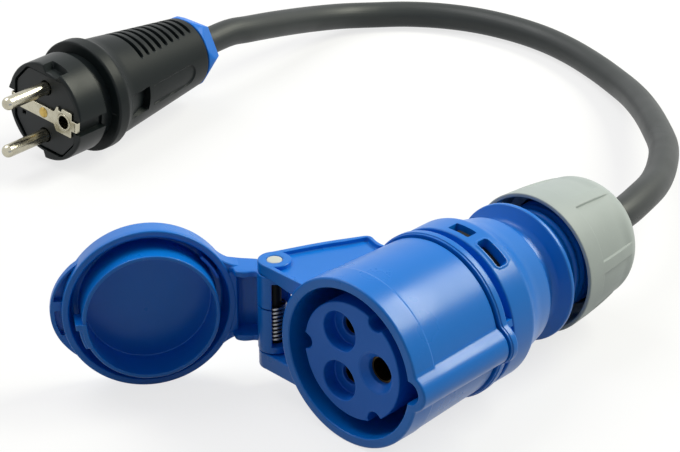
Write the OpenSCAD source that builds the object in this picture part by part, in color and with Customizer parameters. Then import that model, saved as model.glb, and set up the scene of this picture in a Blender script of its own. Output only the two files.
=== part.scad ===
// Power adapter cable: a round three-pole connector with a hinged lid, a short cable and an earthed plug.
// The connector's axis runs along Y, with its mouth at the origin facing -Y. The part lies on z = -rim_r.

/* [Socket] */
// Outer radius of the rim collar
rim_r = 26; // [24:0.1:28]
// Length of the rim collar
rim_len = 8; // [5:0.5:12]
// Step from the collar down to the shell
rim_step = 1.1; // [0.5:0.1:1.4]
// Wall of the shell around the socket bore
shell_wall = 2; // [1.6:0.1:2.4]
// Depth of the socket
socket_depth = 30; // [26:0.5:34]
// Thickness of the web behind the socket
web_t = 2; // [1.5:0.1:3]
// Length of the seat behind the web
seat_len = 4.6; // [4:0.1:6]
// Reach of the key rib past the collar
key_proud = 3; // [2:0.1:4]
// Radius of the key rib's round back
key_rib_r = 5.7; // [5:0.1:6.5]
// Radius of the key slot in the bore wall
key_slot_r = 3.6; // [3:0.1:4]

/* [Contact carrier] */
// Width of the ring-shaped gap between the carrier's nose and the bore
socket_gap = 4.7; // [4.5:0.1:5.2]
// How far the nose sits behind the rim
insert_recess = 1.7; // [1:0.1:3]
// Radius of the circle that the contacts stand on
pitch_r = 9.3; // [9:0.1:9.8]
// Radius of the three grooves in the nose
notch_r = 2.7; // [2:0.1:3]
// Radius of the recess around a live contact
recess_r = 6.1; // [5.5:0.1:6.4]
// Depth of the recess around a live contact
recess_depth = 4.7; // [3:0.1:6]
// Bore radius of the line and neutral contacts
line_bore_r = 2.55; // [2.4:0.05:2.8]
// Bore radius of the earth contact
earth_bore_r = 3.6; // [3.4:0.05:3.8]
// Radius of the earth hole's cone at the face
lead_r = 6.2; // [5.5:0.1:6.4]
// Depth of the earth hole's cone
lead_len = 2; // [1:0.1:3]
// Wall of a contact sleeve
contact_wall = 1.05; // [0.8:0.05:1.2]
// Depth of the bore in a contact
contact_bore_len = 30; // [24:0.5:32]
// Radius of the carrier's tail
tail_r = 16; // [15.2:0.1:17]
// Length of the carrier's tail
tail_len = 11; // [9:0.5:12]
// Length of a terminal behind the tail
terminal_len = 8; // [7:0.5:9]

/* [Rear housing] */
// Length of the front ring
ring_len = 4.8; // [4:0.1:6]
// Width of the groove behind the ring
groove_w = 1.2; // [0.8:0.1:1.6]
// Depth of the groove behind the ring
groove_depth = 1.8; // [1:0.1:2]
// Step from the front ring down to the round grip
grip_step = 0.5; // [0.1:0.1:0.8]
// Length of the round grip
grip_len = 9.6; // [8:0.1:12]
// Radius at the small end of the taper
taper_r = 20.7; // [20:0.1:22]
// Length of the taper
taper_len = 14; // [12:0.5:18]
// Radius of the neck
neck_r = 18.6; // [18:0.1:20]
// Length of the neck
neck_len = 6.7; // [5:0.1:9]
// Radius of the flange
flange_r = 22.1; // [21:0.1:23]
// Thickness of the flange
flange_t = 2.8; // [2:0.1:4]
// Outer radius of the threaded end
thread_r = 17.8; // [17.2:0.1:18.2]
// Length of the threaded end
thread_len = 31; // [28:0.5:34]
// Wall of the rear housing
rear_wall = 2.6; // [2:0.1:3]
// Width of the release window along the axis
window_w = 3.5; // [2.5:0.1:4.5]
// Angle that the release window covers
window_angle = 16; // [12:1:20]
// Angle that the round-ended slot covers
slot_angle = 22; // [16:1:26]

/* [Cap nut and cable seal] */
// Wall of the nut around its thread
nut_wall = 4.6; // [4.3:0.1:5.5]
// Length of the nut
nut_len = 31.5; // [29:0.5:34]
// Radius of the nut's flat back face
nut_end_r = 15; // [13:0.5:16]
// Wall of the nut at its front lip
nut_lip = 1.2; // [0.8:0.1:2]
// Bare thread between the flange and the nut
nut_gap = 7; // [5:0.1:8]
// Number of sunk grip panels on the nut
nut_panels = 6; // [5:1:8]
// Depth of a grip panel on the nut
nut_panel_in = 0.6; // [0.3:0.1:1]
// Radial play of the nut's thread
thread_play = 0.3; // [0.2:0.05:0.5]
// Radius of the seal's seat
seal_r = 14; // [12:0.1:15]
// Length of the seal
seal_len = 13; // [10:0.5:15]
// Thickness of the clamp ring
clamp_t = 3; // [2:0.1:3.5]

/* [Lid] */
// How far the lid's skirt stays inside the collar
lid_inset = 0.2; // [0.1:0.1:0.8]
// Depth of the lid behind its rim
lid_depth = 8.5; // [7:0.1:10]
// Thickness of the lid's cap
cap_t = 2; // [1.5:0.1:3]
// Wall of the skirt at its rim
skirt_wall = 2.1; // [1.6:0.1:2.6]
// Play between the inner ring and the carrier's nose
ring_play = 0.9; // [0.6:0.1:1.2]
// Wall of the inner ring
ring_wall = 1.2; // [0.8:0.1:1.4]
// How far the inner ring stands past the rim
ring_proud = 5; // [3:0.1:6]
// Reach of the thumb tab past the skirt
tab_proud = 2.9; // [2.4:0.1:6]
// Radius of the thumb tab's round edge
tab_r = 18.2; // [16:0.1:20]
// Angle at which the lid stands open
lid_open = 126; // [90:1:130]

/* [Hinge] */
// Distance of the hinge axis outside the collar
hinge_reach = 10.1; // [9.5:0.1:12]
// Distance of the hinge axis behind the rim
hinge_y = 7.8; // [7:0.1:9]
// Radius of the hinge pin
pin_r = 2; // [1.6:0.1:2.2]
// Running play of the pin in the lid
pin_play = 0.05; // [0.02:0.01:0.1]
// Radius of the lid's barrel
barrel_r = 5.2; // [5:0.1:5.4]
// Half the height between the two hinge plates
plate_half = 12; // [10:0.1:13]
// Thickness of a hinge plate
plate_t = 5.4; // [4:0.1:6]
// Depth of the pocket in a hinge plate
pocket_depth = 1.3; // [0.8:0.1:2]
// Wire radius of the lid spring
spring_wire_r = 0.45; // [0.3:0.05:0.5]
// Turns of the lid spring
spring_turns = 9; // [5:1:10]

/* [Cable] */
// Radius of the cable
cable_r = 5.25; // [4.5:0.05:5.6]
// Radius of an insulated wire
wire_r = 1.5; // [1.2:0.05:1.6]

/* [Plug] */
// Radius of the plug's front
front_r = 18.6; // [18.4:0.1:19.5]
// Length of the plug's front
front_len = 13; // [12.5:0.1:15]
// Width of the undercut behind the front
undercut_w = 4.5; // [3:0.1:6]
// Radius of the undercut
undercut_r = 16.6; // [16:0.1:17.5]
// Radius of the collar on the plug's grip
collar_r = 21; // [20:0.1:22]
// Length of the collar
collar_len = 5.5; // [4:0.1:7]
// Radius of the grip behind the collar
handle_r = 19.4; // [19:0.1:20]
// Radius of the grip's back end
handle_end_r = 13.6; // [13.2:0.1:14.5]
// Length of the grip with its collar
handle_len = 54.5; // [52:0.5:60]
// Number of grip grooves on each side
groove_count = 9; // [5:1:9]
// Width of a grip groove
grip_groove_w = 1.7; // [1.2:0.1:2.2]
// Height of the grip grooves' floor above the plug's axis
grip_floor = 13.6; // [13.2:0.1:14.4]
// Radius of a plug pin
plug_pin_r = 2.4; // [2:0.05:2.5]
// Free length of a plug pin
plug_pin_len = 19; // [17:0.5:20]
// Distance between the two plug pins
plug_pin_pitch = 19; // [18:0.1:19.4]
// Bore radius of the plug's earth socket
plug_earth_r = 2.45; // [2.3:0.05:2.6]
// Distance of the earth socket from the plug's axis
plug_earth_x = 10.2; // [9.8:0.1:10.4]
// Half the width of the earth strap
strap_half = 3; // [2:0.1:3.2]
// Thickness of the earth strap
strap_t = 1; // [0.6:0.1:1.2]
// Length of the plug nut's head
plug_nut_len = 7.7; // [6:0.1:10]
// Distance from the axis to the plug nut's flats at its back face
plug_nut_end_r = 10; // [9.2:0.1:11]
// Radius of the plug nut's thread
plug_thread_r = 9.3; // [9:0.1:10]

/* [Hidden] */
$fn = 72;
tiny = 0.01;
// Clearance of pieces that seat in one another without moving
slip = 0.1;
// Clearance between faces of pieces that move past each other
gap = 0.3;

// Radii that follow the collar
shell_r = rim_r - rim_step;
bore_r = shell_r - shell_wall;
insert_r = bore_r - socket_gap;
grip_r = rim_r - grip_step;
lid_r = rim_r - lid_inset;
ring_r = insert_r + ring_play + ring_wall;
tab_reach = lid_r + tab_proud;
hinge_x = rim_r + hinge_reach;

// Places along the connector's axis
web_y = socket_depth;
seat_y = web_y + web_t;
housing_len = seat_y + seat_len;
seam_y = housing_len + gap;
ring_end_y = seam_y + ring_len;
grip_y = ring_end_y + groove_w;
taper_y = grip_y + grip_len;
neck_y = taper_y + taper_len;
flange_y = neck_y + neck_len;
thread_y = flange_y + flange_t;
thread_end_y = thread_y + thread_len;
window_in = 3.2;
window_y = grip_y + window_in;

// Carrier, contacts and rear housing inside
seat_step = 0.5;
seat_r = bore_r - seat_step;
carrier_flange_t = 2.6;
tail_y = seat_y + carrier_flange_t;
tail_end_y = tail_y + tail_len;
terminal_end_y = tail_end_y + terminal_len;
spigot_r = seat_r - slip;
spigot_wall = 2;
spigot_in_r = spigot_r - spigot_wall;
chamber_play = 0.3;
chamber_r = grip_r - rear_wall - chamber_play;
chamber_draft = 1;
neck_bore_r = neck_r - rear_wall;
line_r = line_bore_r + contact_wall;
earth_r = earth_bore_r + contact_wall;
throat_r = line_bore_r + 0.35;
earth_throat_r = earth_bore_r + 0.6;
throat_len = 1.2;
line_front_y = insert_recess + recess_depth + throat_len;
earth_front_y = insert_recess + lead_len + throat_len;
wire_hole_r = wire_r + 0.25;
wire_depth = 7;
screw_r = 1.45;
screw_head_r = 2.3;
screw_head_t = 1.6;
screw_slot_w = 0.7;
LINE = 120;
NEUTRAL = -120;
EARTH = 0;
LATCH = 85;
SLOT = 61;
BRIDGE = 12;
NUT_RIDGE = 8.5;
PLUG_NUT_FLAT = 33;
bridge_angle = 6;

// Cable seal, clamp ring and cap nut
seal_end_y = thread_end_y - clamp_t;
seal_y = seal_end_y - seal_len;
ledge_t = 2.5;
ledge_r = 9;
sheath_y = seal_y - ledge_t - 0.5;
clamp_y = seal_end_y + 0.2;
nut_y = thread_y + nut_gap;
nut_end_y = nut_y + nut_len;
nut_floor_y = clamp_y + clamp_t + gap;
nut_bore_r = thread_r + thread_play;
nut_r = nut_bore_r + nut_wall;
cable_hole_r = cable_r + 0.55;

// Lid in its closed place: the rim lies just in front of the socket's rim, and the cap at -lid_depth
lid_floor_y = cap_t - lid_depth;
lid_draft = 0.5;
lid_back_r = lid_r - lid_draft;
skirt_draft = 1.2;
groove_floor_r = lid_r - skirt_wall - skirt_draft;
knuckle_half = plate_half - gap;
knuckle_t = 2.2;
cavity_r = barrel_r - 1;
cavity_z = knuckle_t - knuckle_half;
// Angles about the hinge, in degrees: the spring leg's slit, and the window on both sides of lid_open
leg_angles = [-68, -26];
window_sides = [-58, 70];
slit_h = 4*spring_wire_r;
arm_wall = 2;
tab_y = [3 - lid_depth, -2];
eyelet = [1.3, 5.5];
hook_angles = [-28, 2];
rib_angles = [135, 158];

// Hinge plates
plate_top = plate_half + plate_t;
boss_r = barrel_r - 0.2;
plate_front_y = 2;
plate_back_y = housing_len - 0.4;
plate_bend = [-(shell_r + 8.8), 0.7*housing_len];
plate_heel = [-(shell_r + 1.7), housing_len + 1.7];
// Corner of the heel beside the rear housing's ring
plate_toe_x = -sqrt(rim_r*rim_r - plate_half*plate_half) - 2*gap;
plate_root_x = -0.56*shell_r;
border = 1.9;

// Plug, in its own frame: the pin face at y = 0, pins towards -y, the earth socket at +x
plug_pos = [-205.4, 61.7, collar_r - rim_r];
plug_turn = 3.4;
plug_roll = 6;
face_y = 0.6;
block_len = 11.4;
block_end_y = face_y + block_len;
collar_y = front_len + undercut_w;
handle_end_y = collar_y + handle_len;
plug_tail_r = plug_earth_x + plug_earth_r + 1.3;
plug_socket_r = plug_tail_r + slip;
plug_spigot_r = plug_socket_r + 1.4;
plug_tail_end_y = collar_y + 8.5;
plug_terminal_end_y = plug_tail_end_y + terminal_len;
plug_chamber_r = plug_spigot_r + slip;
plug_chamber_y = plug_terminal_end_y - 1;
plug_taper_len = 9;
plug_terminal_r = 3.2;
sleeve_r = plug_earth_r + 0.75;
shank_r = plug_pin_r + 0.3;
shank_y = face_y - strap_t - 0.2;
plug_bore_r = plug_thread_r + thread_play;
plug_ledge_r = plug_thread_r - 1.3;
plug_seal_y = plug_terminal_end_y + 16;
plug_seal_len = 9.8;
plug_clamp_y = plug_seal_y + plug_seal_len + 0.2;
plug_clamp_t = 2.6;
plug_screw_y = plug_clamp_y + plug_clamp_t + gap;
plug_nut_y = handle_end_y + gap;
plug_nut_end_y = plug_nut_y + plug_nut_len;
plug_sheath_y = plug_seal_y - 3;
block_outline = [for (side = [1, -1]) each side*[[9, 14.8], [15, 7.5], [15, -7.5], [9, -14.8]]];
guide_depth = 1.7;
guide_half = 3.3;
guide_len = front_len - 1;
arm_x = front_r - 0.4;
rivet_r = 1.2;
rivet_len = 6.5;

// Route of the cable: hand-chosen points of the free run, between the nut and the plug's own axis
function plug_point(back) = plug_pos + back*[-sin(plug_turn), cos(plug_turn), 0];
free_run = [
    [-3, 143, -0.5], [-8, 158, -2], [-17, 175, -4.5], [-29, 193, -7.5], [-44, 210, -11], [-60, 226, -14],
    [-76, 240, -17], [-92, 251, -19.3], [-109, 260, -20.5], [-126, 266, -20.7], [-142, 269, -20.7],
    [-158, 269, -20.7], [-174, 266, -20.7], [-188, 260, -20.7], [-200, 251.5, -20.7], [-209, 240.5, -20.3],
    [-214.5, 228, -18.7], [-216, 213.5, -16], [-215, 199, -12.8], [-213, 184, -9.4], [-211.4, 170, -6.6],
];
route = concat(
    [[0, sheath_y, 0], [0, nut_end_y - 13, 0], [0, nut_end_y + 1, 0], [0, nut_end_y + 14, 0]],
    free_run,
    [for (back = [98, 84, 68, plug_sheath_y]) plug_point(back)]
);

// Solid of revolution about +Y from [radius, y] points
module turned(points) {
    rotate([-90, 0, 0]) rotate_extrude() polygon(points);
}

// Round bar along +Y from y0 to y1
module rod(y0, y1, r) {
    translate([0, y0, 0]) rotate([-90, 0, 0]) cylinder(h = y1 - y0, r = r);
}

// Turns what stands at +X to an angle seen from the back, from +X towards +Z
module at_angle(a) {
    rotate([0, -a, 0]) children();
}

// Wedge about +Y that spans an angle about its centre, reaching out to r
module sector(y0, y1, centre, span, r) {
    steps = 8;
    outline = [for (i = [0:steps]) let (a = centre + span*(i/steps - 0.5)) r*[cos(a), sin(a)]];
    translate([0, y1, 0]) rotate([90, 0, 0]) linear_extrude(y1 - y0) polygon(concat([[0, 0]], outline));
}

// Part of a ring about +Y, from angle a[0] to a[1] and from radius r[0] to r[1]
module ring_part(a, r, y0, y1) {
    rotate([-90, 0, 0]) rotate([0, 0, -a[1]]) rotate_extrude(angle = a[1] - a[0])
        translate([r[0], y0]) square([r[1] - r[0], y1 - y0]);
}

function unit(v) = v/norm(v);
function heading(p, i) = unit(p[min(i + 1, len(p) - 1)] - p[max(i - 1, 0)]);

// Round tube swept along points: one ring at each point, square to the path there
module swept(path, r, sides) {
    last = len(path) - 1;
    rings = [for (i = [0:last])
        let (t = heading(path, i), n = unit(cross(t, [0, 0, 1])), b = cross(n, t))
        for (k = [0:sides - 1]) path[i] + r*(n*cos(360*k/sides) + b*sin(360*k/sides))];
    sides_faces = [for (i = [0:last - 1]) for (k = [0:sides - 1])
        let (a = i*sides + k, b = i*sides + (k + 1) % sides)
        each [[a, b, a + sides], [b, b + sides, a + sides]]];
    caps = [[for (k = [sides - 1:-1:0]) k], [for (k = [0:sides - 1]) last*sides + k]];
    polyhedron(rings, concat(sides_faces, caps), convexity = 8);
}

// One hinge plate with its pocket, boss and pin hole, above the middle plane
module hinge_plate() {
    outline = [
        [-hinge_x - 0.86*boss_r, hinge_y + 0.5*boss_r], plate_bend, plate_heel,
        [plate_toe_x, plate_heel[1]], [plate_toe_x, plate_back_y],
        [plate_root_x, plate_back_y], [plate_root_x, plate_front_y], [-hinge_x, hinge_y - boss_r],
    ];
    pocket = [
        [-hinge_x - 0.86*boss_r + border, hinge_y], plate_bend + border*[1, -0.3],
        plate_heel + border*[0.6, -1.2], [plate_root_x, plate_back_y - border],
        [plate_root_x, plate_front_y + border], [-hinge_x, hinge_y - boss_r + border],
    ];
    difference() {
        translate([0, 0, plate_half]) union() {
            linear_extrude(plate_t) polygon(outline);
            translate([-hinge_x, hinge_y, 0]) cylinder(h = plate_t, r = boss_r);
        }
        translate([0, 0, plate_top - pocket_depth]) difference() {
            linear_extrude(plate_t) polygon(pocket);
            translate([-hinge_x, hinge_y, -tiny]) cylinder(h = plate_t + 2*tiny, r = boss_r);
        }
        translate([-hinge_x, hinge_y, 0]) cylinder(h = plate_top + 1, r = pin_r + pin_play/2);
    }
}

// Socket shell with its collar, key rib and the two hinge plates
module front_housing() {
    edge = 0.6;
    color("royalblue") difference() {
        union() {
            turned([
                [0, 0], [rim_r - edge, 0], [rim_r, edge], [rim_r, rim_len], [shell_r, rim_len + rim_step],
                [shell_r, housing_len - edge], [shell_r - edge, housing_len], [0, housing_len],
            ]);
            translate([rim_r + key_proud - key_rib_r, 0, 0]) rod(0, housing_len - edge, key_rib_r);
            hinge_plate();
            mirror([0, 0, 1]) hinge_plate();
        }
        rod(-tiny, web_y, bore_r);
        translate([bore_r, 0, 0]) rod(-tiny, web_y, key_slot_r);
        rod(web_y - tiny, seat_y + tiny, insert_r + slip);
        rod(seat_y, housing_len + tiny, seat_r);
    }
}

// Bore for one contact, on the +X side of the carrier
module contact_bore(throat, contact, front_y) {
    translate([pitch_r, 0, 0]) {
        rod(insert_recess - tiny, front_y + tiny, throat);
        rod(front_y, tail_end_y + tiny, contact + slip/2);
    }
}

// Insulating block that holds the three contacts
module contact_carrier() {
    color("royalblue") difference() {
        union() {
            rod(insert_recess, seat_y + tiny, insert_r);
            rod(seat_y, tail_y, seat_r - slip);
            rod(tail_y - tiny, tail_end_y, tail_r);
        }
        for (a = [60, 180, 300])
            at_angle(a) translate([insert_r, 0, 0]) rod(insert_recess - tiny, web_y - 2, notch_r);
        for (a = [LINE, NEUTRAL]) at_angle(a) {
            translate([pitch_r, 0, 0]) rod(insert_recess - tiny, insert_recess + recess_depth, recess_r);
            contact_bore(throat_r, line_r, line_front_y);
        }
        at_angle(EARTH) {
            translate([pitch_r, 0, 0]) turned([
                [0, insert_recess - tiny], [lead_r, insert_recess - tiny],
                [earth_throat_r, insert_recess + lead_len], [0, insert_recess + lead_len],
            ]);
            contact_bore(earth_throat_r, earth_r, earth_front_y);
        }
    }
}

// Snap latch on the carrier's tail, with its head in the release window
module carrier_latch() {
    width = 5.4;
    foot_len = 5;
    play = 0.8;
    thickness = spigot_in_r - tail_r - play;
    head_len = window_w - 0.8;
    head_y = window_y + 0.4;
    color("dimgray") at_angle(LATCH) difference() {
        union() {
            translate([tail_r - 1, tail_end_y - foot_len, -width/2])
                cube([1 + thickness, head_y + head_len - tail_end_y + foot_len, width]);
            translate([tail_r, head_y, -width/2]) cube([grip_r - 1 - tail_r, head_len, width]);
        }
        rod(tail_y, head_y + head_len + tiny, tail_r + slip/2);
    }
}

// Contact sleeve with a wire terminal, on the +X side
module contact(bore, front_y) {
    outer = bore + contact_wall;
    translate([pitch_r, 0, 0]) difference() {
        rod(front_y, terminal_end_y, outer);
        rod(front_y - tiny, front_y + contact_bore_len, bore);
        rod(terminal_end_y - wire_depth, terminal_end_y + tiny, wire_hole_r);
        translate([0, terminal_end_y - wire_depth/2, 0]) rotate([0, 90, 0])
            cylinder(h = outer + 1, r = screw_r + slip/2);
    }
}

module line_contact() {
    color("goldenrod") at_angle(LINE) contact(line_bore_r, line_front_y);
}

module neutral_contact() {
    color("goldenrod") at_angle(NEUTRAL) contact(line_bore_r, line_front_y);
}

module earth_contact() {
    color("goldenrod") at_angle(EARTH) contact(earth_bore_r, earth_front_y);
}

// Slotted screw that stands in a terminal of a given radius and points along +X
module terminal_screw(outer) {
    rotate([0, 90, 0]) difference() {
        union() {
            translate([0, 0, wire_r + 0.1]) cylinder(h = outer - wire_r, r = screw_r);
            translate([0, 0, outer + 0.1]) cylinder(h = screw_head_t, r = screw_head_r);
        }
        translate([-screw_head_r, -screw_slot_w/2, outer + screw_head_t - 0.6])
            cube([2*screw_head_r, screw_slot_w, 1]);
    }
}

module contact_screws() {
    color("silver") for (c = [[LINE, line_r], [NEUTRAL, line_r], [EARTH, earth_r]])
        at_angle(c[0]) translate([pitch_r, terminal_end_y - wire_depth/2, 0]) terminal_screw(c[1]);
}

// Round-ended slot cut through the wall, centred at an angle
module wall_slot(y0, width, centre, span) {
    end = span/2 - atan(width/2/grip_r);
    sector(y0, y0 + width, centre, 2*end, 1.2*grip_r);
    for (a = [centre - end, centre + end])
        at_angle(a) translate([0, y0 + width/2, 0]) rotate([0, 90, 0]) cylinder(h = 1.2*grip_r, r = width/2);
}

// Back half of the connector: front ring, round grip, taper, neck, flange and threaded end
module rear_housing() {
    edge = 0.6;
    groove_r = rim_r - groove_depth;
    floor_y = seal_y - ledge_t;
    color("royalblue") difference() {
        union() {
            turned([
                [0, seam_y], [rim_r - edge, seam_y], [rim_r, seam_y + edge], [rim_r, ring_end_y - edge],
                [rim_r - edge, ring_end_y], [groove_r, ring_end_y], [groove_r, grip_y],
                [grip_r - edge, grip_y], [grip_r, grip_y + edge], [grip_r, taper_y],
                [(grip_r + taper_r)/2 - 0.5, taper_y + 0.4*taper_len], [taper_r + edge/2, neck_y - edge],
                [taper_r - edge, neck_y], [neck_r, neck_y], [neck_r, flange_y], [flange_r - edge, flange_y],
                [flange_r, flange_y + edge], [flange_r, thread_y - edge], [flange_r - edge, thread_y],
                [thread_r, thread_y], [thread_r, thread_end_y], [0, thread_end_y],
            ]);
            translate([rim_r + key_proud - key_rib_r, 0, 0]) rod(seam_y, ring_end_y, key_rib_r + edge);
            sector(ring_end_y - tiny, grip_y + tiny, BRIDGE, bridge_angle, grip_r);
            rod(tail_y + slip, seam_y + tiny, spigot_r);
        }
        turned([
            [0, tail_y], [spigot_in_r, tail_y], [spigot_in_r, ring_end_y - chamber_draft],
            [chamber_r, grip_y + chamber_draft], [chamber_r, taper_y - chamber_draft],
            [neck_bore_r, neck_y - chamber_draft], [neck_bore_r, floor_y], [0, floor_y],
        ]);
        rod(floor_y - tiny, seal_y + tiny, ledge_r);
        rod(seal_y, thread_end_y + tiny, seal_r + slip);
        sector(window_y, window_y + window_w, LATCH, window_angle, 1.2*grip_r);
        wall_slot(window_y + 0.3, window_w - 0.4, SLOT, slot_angle);
    }
}

// Rubber ring that seals on the cable
module cable_seal() {
    color("dimgray") difference() {
        rod(seal_y + slip/2, seal_end_y, seal_r);
        rod(seal_y - tiny, seal_end_y + tiny, cable_r + slip);
    }
}

// Ring between the nut and the seal
module clamp_ring() {
    color("gainsboro") difference() {
        rod(clamp_y, clamp_y + clamp_t, seal_r - gap);
        rod(clamp_y - tiny, clamp_y + clamp_t + tiny, cable_hole_r);
    }
}

// Grey nut that closes the cable end, with sunk grip panels between narrow ridges
module cap_nut() {
    mid_y = nut_y + 0.35*nut_len;
    panel_y = nut_y + 0.24*nut_len;
    panel_end_y = nut_end_y - 6.5;
    panel_span = 0.82*360/nut_panels;
    mouth_len = 5;
    color("darkgray") difference() {
        turned([
            [nut_r - nut_lip, nut_y], [nut_r - 0.4, nut_y], [nut_r, nut_y + 0.4], [nut_r - 0.7, mid_y],
            [nut_r - 1.6, nut_y + 0.6*nut_len], [nut_r - 2.7, panel_end_y],
            [nut_r - 4.1, nut_end_y - 3.5], [nut_end_r + 1.6, nut_end_y - 1],
            [nut_end_r, nut_end_y], [cable_hole_r, nut_end_y],
            [cable_hole_r, nut_floor_y], [nut_bore_r, nut_floor_y], [nut_bore_r, nut_y + mouth_len],
            [nut_r - nut_lip, nut_y + mouth_len - 1],
        ]);
        for (i = [0:nut_panels - 1]) at_angle(NUT_RIDGE + (i + 0.5)*360/nut_panels)
            rotate([-90, 0, 0]) rotate([0, 0, -panel_span/2]) rotate_extrude(angle = panel_span) polygon([
                [nut_r - 0.5 - nut_panel_in, panel_y], [nut_r - 1.6 - nut_panel_in, nut_y + 0.6*nut_len],
                [nut_r - 2.8, panel_end_y], [nut_r + 1, panel_end_y], [nut_r + 1, panel_y],
            ]);
    }
}

// Lid on the closed socket, before it is swung open
module closed_lid() {
    rim_y = -gap;
    back_y = -lid_depth;
    barrel_x = -hinge_x + barrel_r;
    profile = [
        [0, back_y], [lid_back_r - 1.6, back_y], [lid_back_r - 0.4, back_y + 0.5],
        [lid_back_r, back_y + 1.5], [lid_r, rim_y - 1.5], [lid_r, rim_y], [lid_r - skirt_wall, rim_y],
        [groove_floor_r, lid_floor_y],
        [ring_r, lid_floor_y], [ring_r, ring_proud], [ring_r - ring_wall, ring_proud],
        [ring_r - ring_wall, lid_floor_y], [0, lid_floor_y],
    ];
    arm = [
        [-hinge_x - 0.97*barrel_r, hinge_y - 1.2], [-hinge_x - 0.8*barrel_r, 2], [-hinge_x - 0.6, -4.2],
        [-lid_r - 3.4, back_y + 0.3], [-lid_back_r + 3, back_y + 0.3], [-lid_back_r + 3, lid_floor_y],
        [-groove_floor_r, lid_floor_y], [-lid_r + skirt_wall, rim_y], [-lid_r - 0.4, rim_y],
        [-lid_r - 3, 0.4], [barrel_x - 0.5, 2.4], [barrel_x - 1.2, 5],
    ];
    hollow = [
        [-lid_r - 0.8, hinge_y - barrel_r], [-lid_r - 0.8, lid_floor_y + 2.3], [-lid_r - 3.2, back_y + 3.1],
        [-hinge_x + 2.4, -3], [-hinge_x + 1.2, 0.4], [-hinge_x + 3.2, 2.8], [barrel_x, hinge_y - barrel_r/2],
    ];
    difference() {
        union() {
            turned(profile);
            // Arm between the skirt and the barrel, hollow on the side that faces the socket
            translate([0, 0, -knuckle_half]) linear_extrude(2*knuckle_half) polygon(arm);
            translate([-hinge_x, hinge_y, -knuckle_half]) cylinder(h = 2*knuckle_half, r = barrel_r);
            // Latch hook on the ring and a short rib in the groove
            ring_part(hook_angles, [ring_r - 0.3, ring_r + 1.6], lid_floor_y - tiny, ring_proud - 1.5);
            ring_part(rib_angles, [ring_r + 1.3, ring_r + 2.1], lid_floor_y - tiny, rim_y - 1);
            thumb_tab();
        }
        translate([0, 0, arm_wall - knuckle_half]) linear_extrude(2*(knuckle_half - arm_wall))
            polygon(hollow);
        // Pin bore and spring cavity, the window that faces the socket when open, and the slit for the leg
        translate([-hinge_x, hinge_y, -plate_half]) cylinder(h = 2*plate_half, r = pin_r + pin_play);
        translate([-hinge_x, hinge_y, cavity_z]) cylinder(h = -2*cavity_z, r = cavity_r);
        barrel_wedge([for (side = window_sides) lid_open + side], 1.6*barrel_r, -2*cavity_z);
        barrel_wedge([leg_angles[0], leg_angles[1] + lid_open], 1.25*barrel_r, slit_h);
    }
}

// Wedge about the hinge axis from angle a[0] to a[1], standing on the spring cavity's floor
module barrel_wedge(a, r, h) {
    steps = 8;
    outline = [for (i = [0:steps]) let (t = a[0] + (a[1] - a[0])*i/steps) r*[cos(t), sin(t)]];
    translate([-hinge_x, hinge_y, cavity_z]) linear_extrude(h) polygon(concat([[0, 0]], outline));
}

// Round-edged thumb tab at the lid's far side, with a shallow tray above and an eyelet below
module thumb_tab() {
    tray_depth = 1.2;
    difference() {
        translate([tab_reach - tab_r, 0, 0]) rod(tab_y[0], tab_y[1], tab_r);
        rod(tab_y[0] - tiny, tab_y[1] + tiny, lid_back_r - 0.5);
        translate([tab_reach - 1.6 - eyelet[0], tab_y[0] - tiny, -eyelet[1] - 1.2])
            cube([eyelet[0], tab_y[1] - tab_y[0] + 2*tiny, eyelet[1]]);
        intersection() {
            translate([tab_reach - tab_r, 0, 0]) rod(tab_y[1] - tray_depth, tab_y[1] + tiny, tab_r - 1);
            translate([0, tab_y[1] - tray_depth, 3]) cube(tab_r);
        }
    }
}

module lid() {
    color("royalblue") translate([-hinge_x, hinge_y, 0]) rotate([0, 0, -lid_open])
        translate([hinge_x, -hinge_y, 0]) closed_lid();
}

module hinge_pin() {
    color("ivory") translate([-hinge_x, hinge_y, -plate_top]) cylinder(h = 2*plate_top, r = pin_r);
}

// Torsion spring round the pin, with a leg that leans on the shell
module lid_spring() {
    coil_r = (pin_r + cavity_r)/2;
    z0 = cavity_z + 1;
    rise = 2.6*spring_wire_r;
    steps = 14;
    turn = 360/steps;
    coil = [for (i = [0:steps*spring_turns])
        [-hinge_x + coil_r*sin(turn*i), hinge_y - coil_r*cos(turn*i), z0 + rise*i/steps]];
    leg_y = hinge_y - coil_r;
    leg_x = -sqrt(rim_r*rim_r - z0*z0) - gap;
    leg = [[leg_x, leg_y - 0.6, z0 - 0.2], [-hinge_x + coil_r, leg_y - 0.3, z0 - 0.1]];
    color("lightgray") swept(concat(leg, coil), spring_wire_r, 6);
}

// Insulated wire from the sheath's end to a terminal, on the +X side
module wire_end(a, radius, sheath_end, terminal_end) {
    core_r = 1.1 + wire_r;
    start = sheath_end - slip;
    run = start - terminal_end;
    bends = [
        [core_r, 0], [core_r, 0.1], [0.35*radius + 1.7, 0.4], [0.8*radius + 0.5, 0.7],
        [radius, 0.9], [radius, 1],
    ];
    path = [for (p = bends) [p[0], start - p[1]*run, 0]];
    at_angle(a) swept(concat(path, [[radius, terminal_end - wire_depth + 1, 0]]), wire_r, 8);
}

module line_wire() {
    color("saddlebrown") wire_end(LINE, pitch_r, sheath_y, terminal_end_y);
}

module neutral_wire() {
    color("steelblue") wire_end(NEUTRAL, pitch_r, sheath_y, terminal_end_y);
}

module earth_wire() {
    color("yellowgreen") wire_end(EARTH, pitch_r, sheath_y, terminal_end_y);
}

module cable() {
    color("dimgray") swept(route, cable_r, 12);
}

// Puts what is drawn in the plug's own frame where the plug lies
module on_plug() {
    translate(plug_pos) rotate([0, 0, plug_turn]) rotate([0, plug_roll, 0]) children();
}

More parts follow.
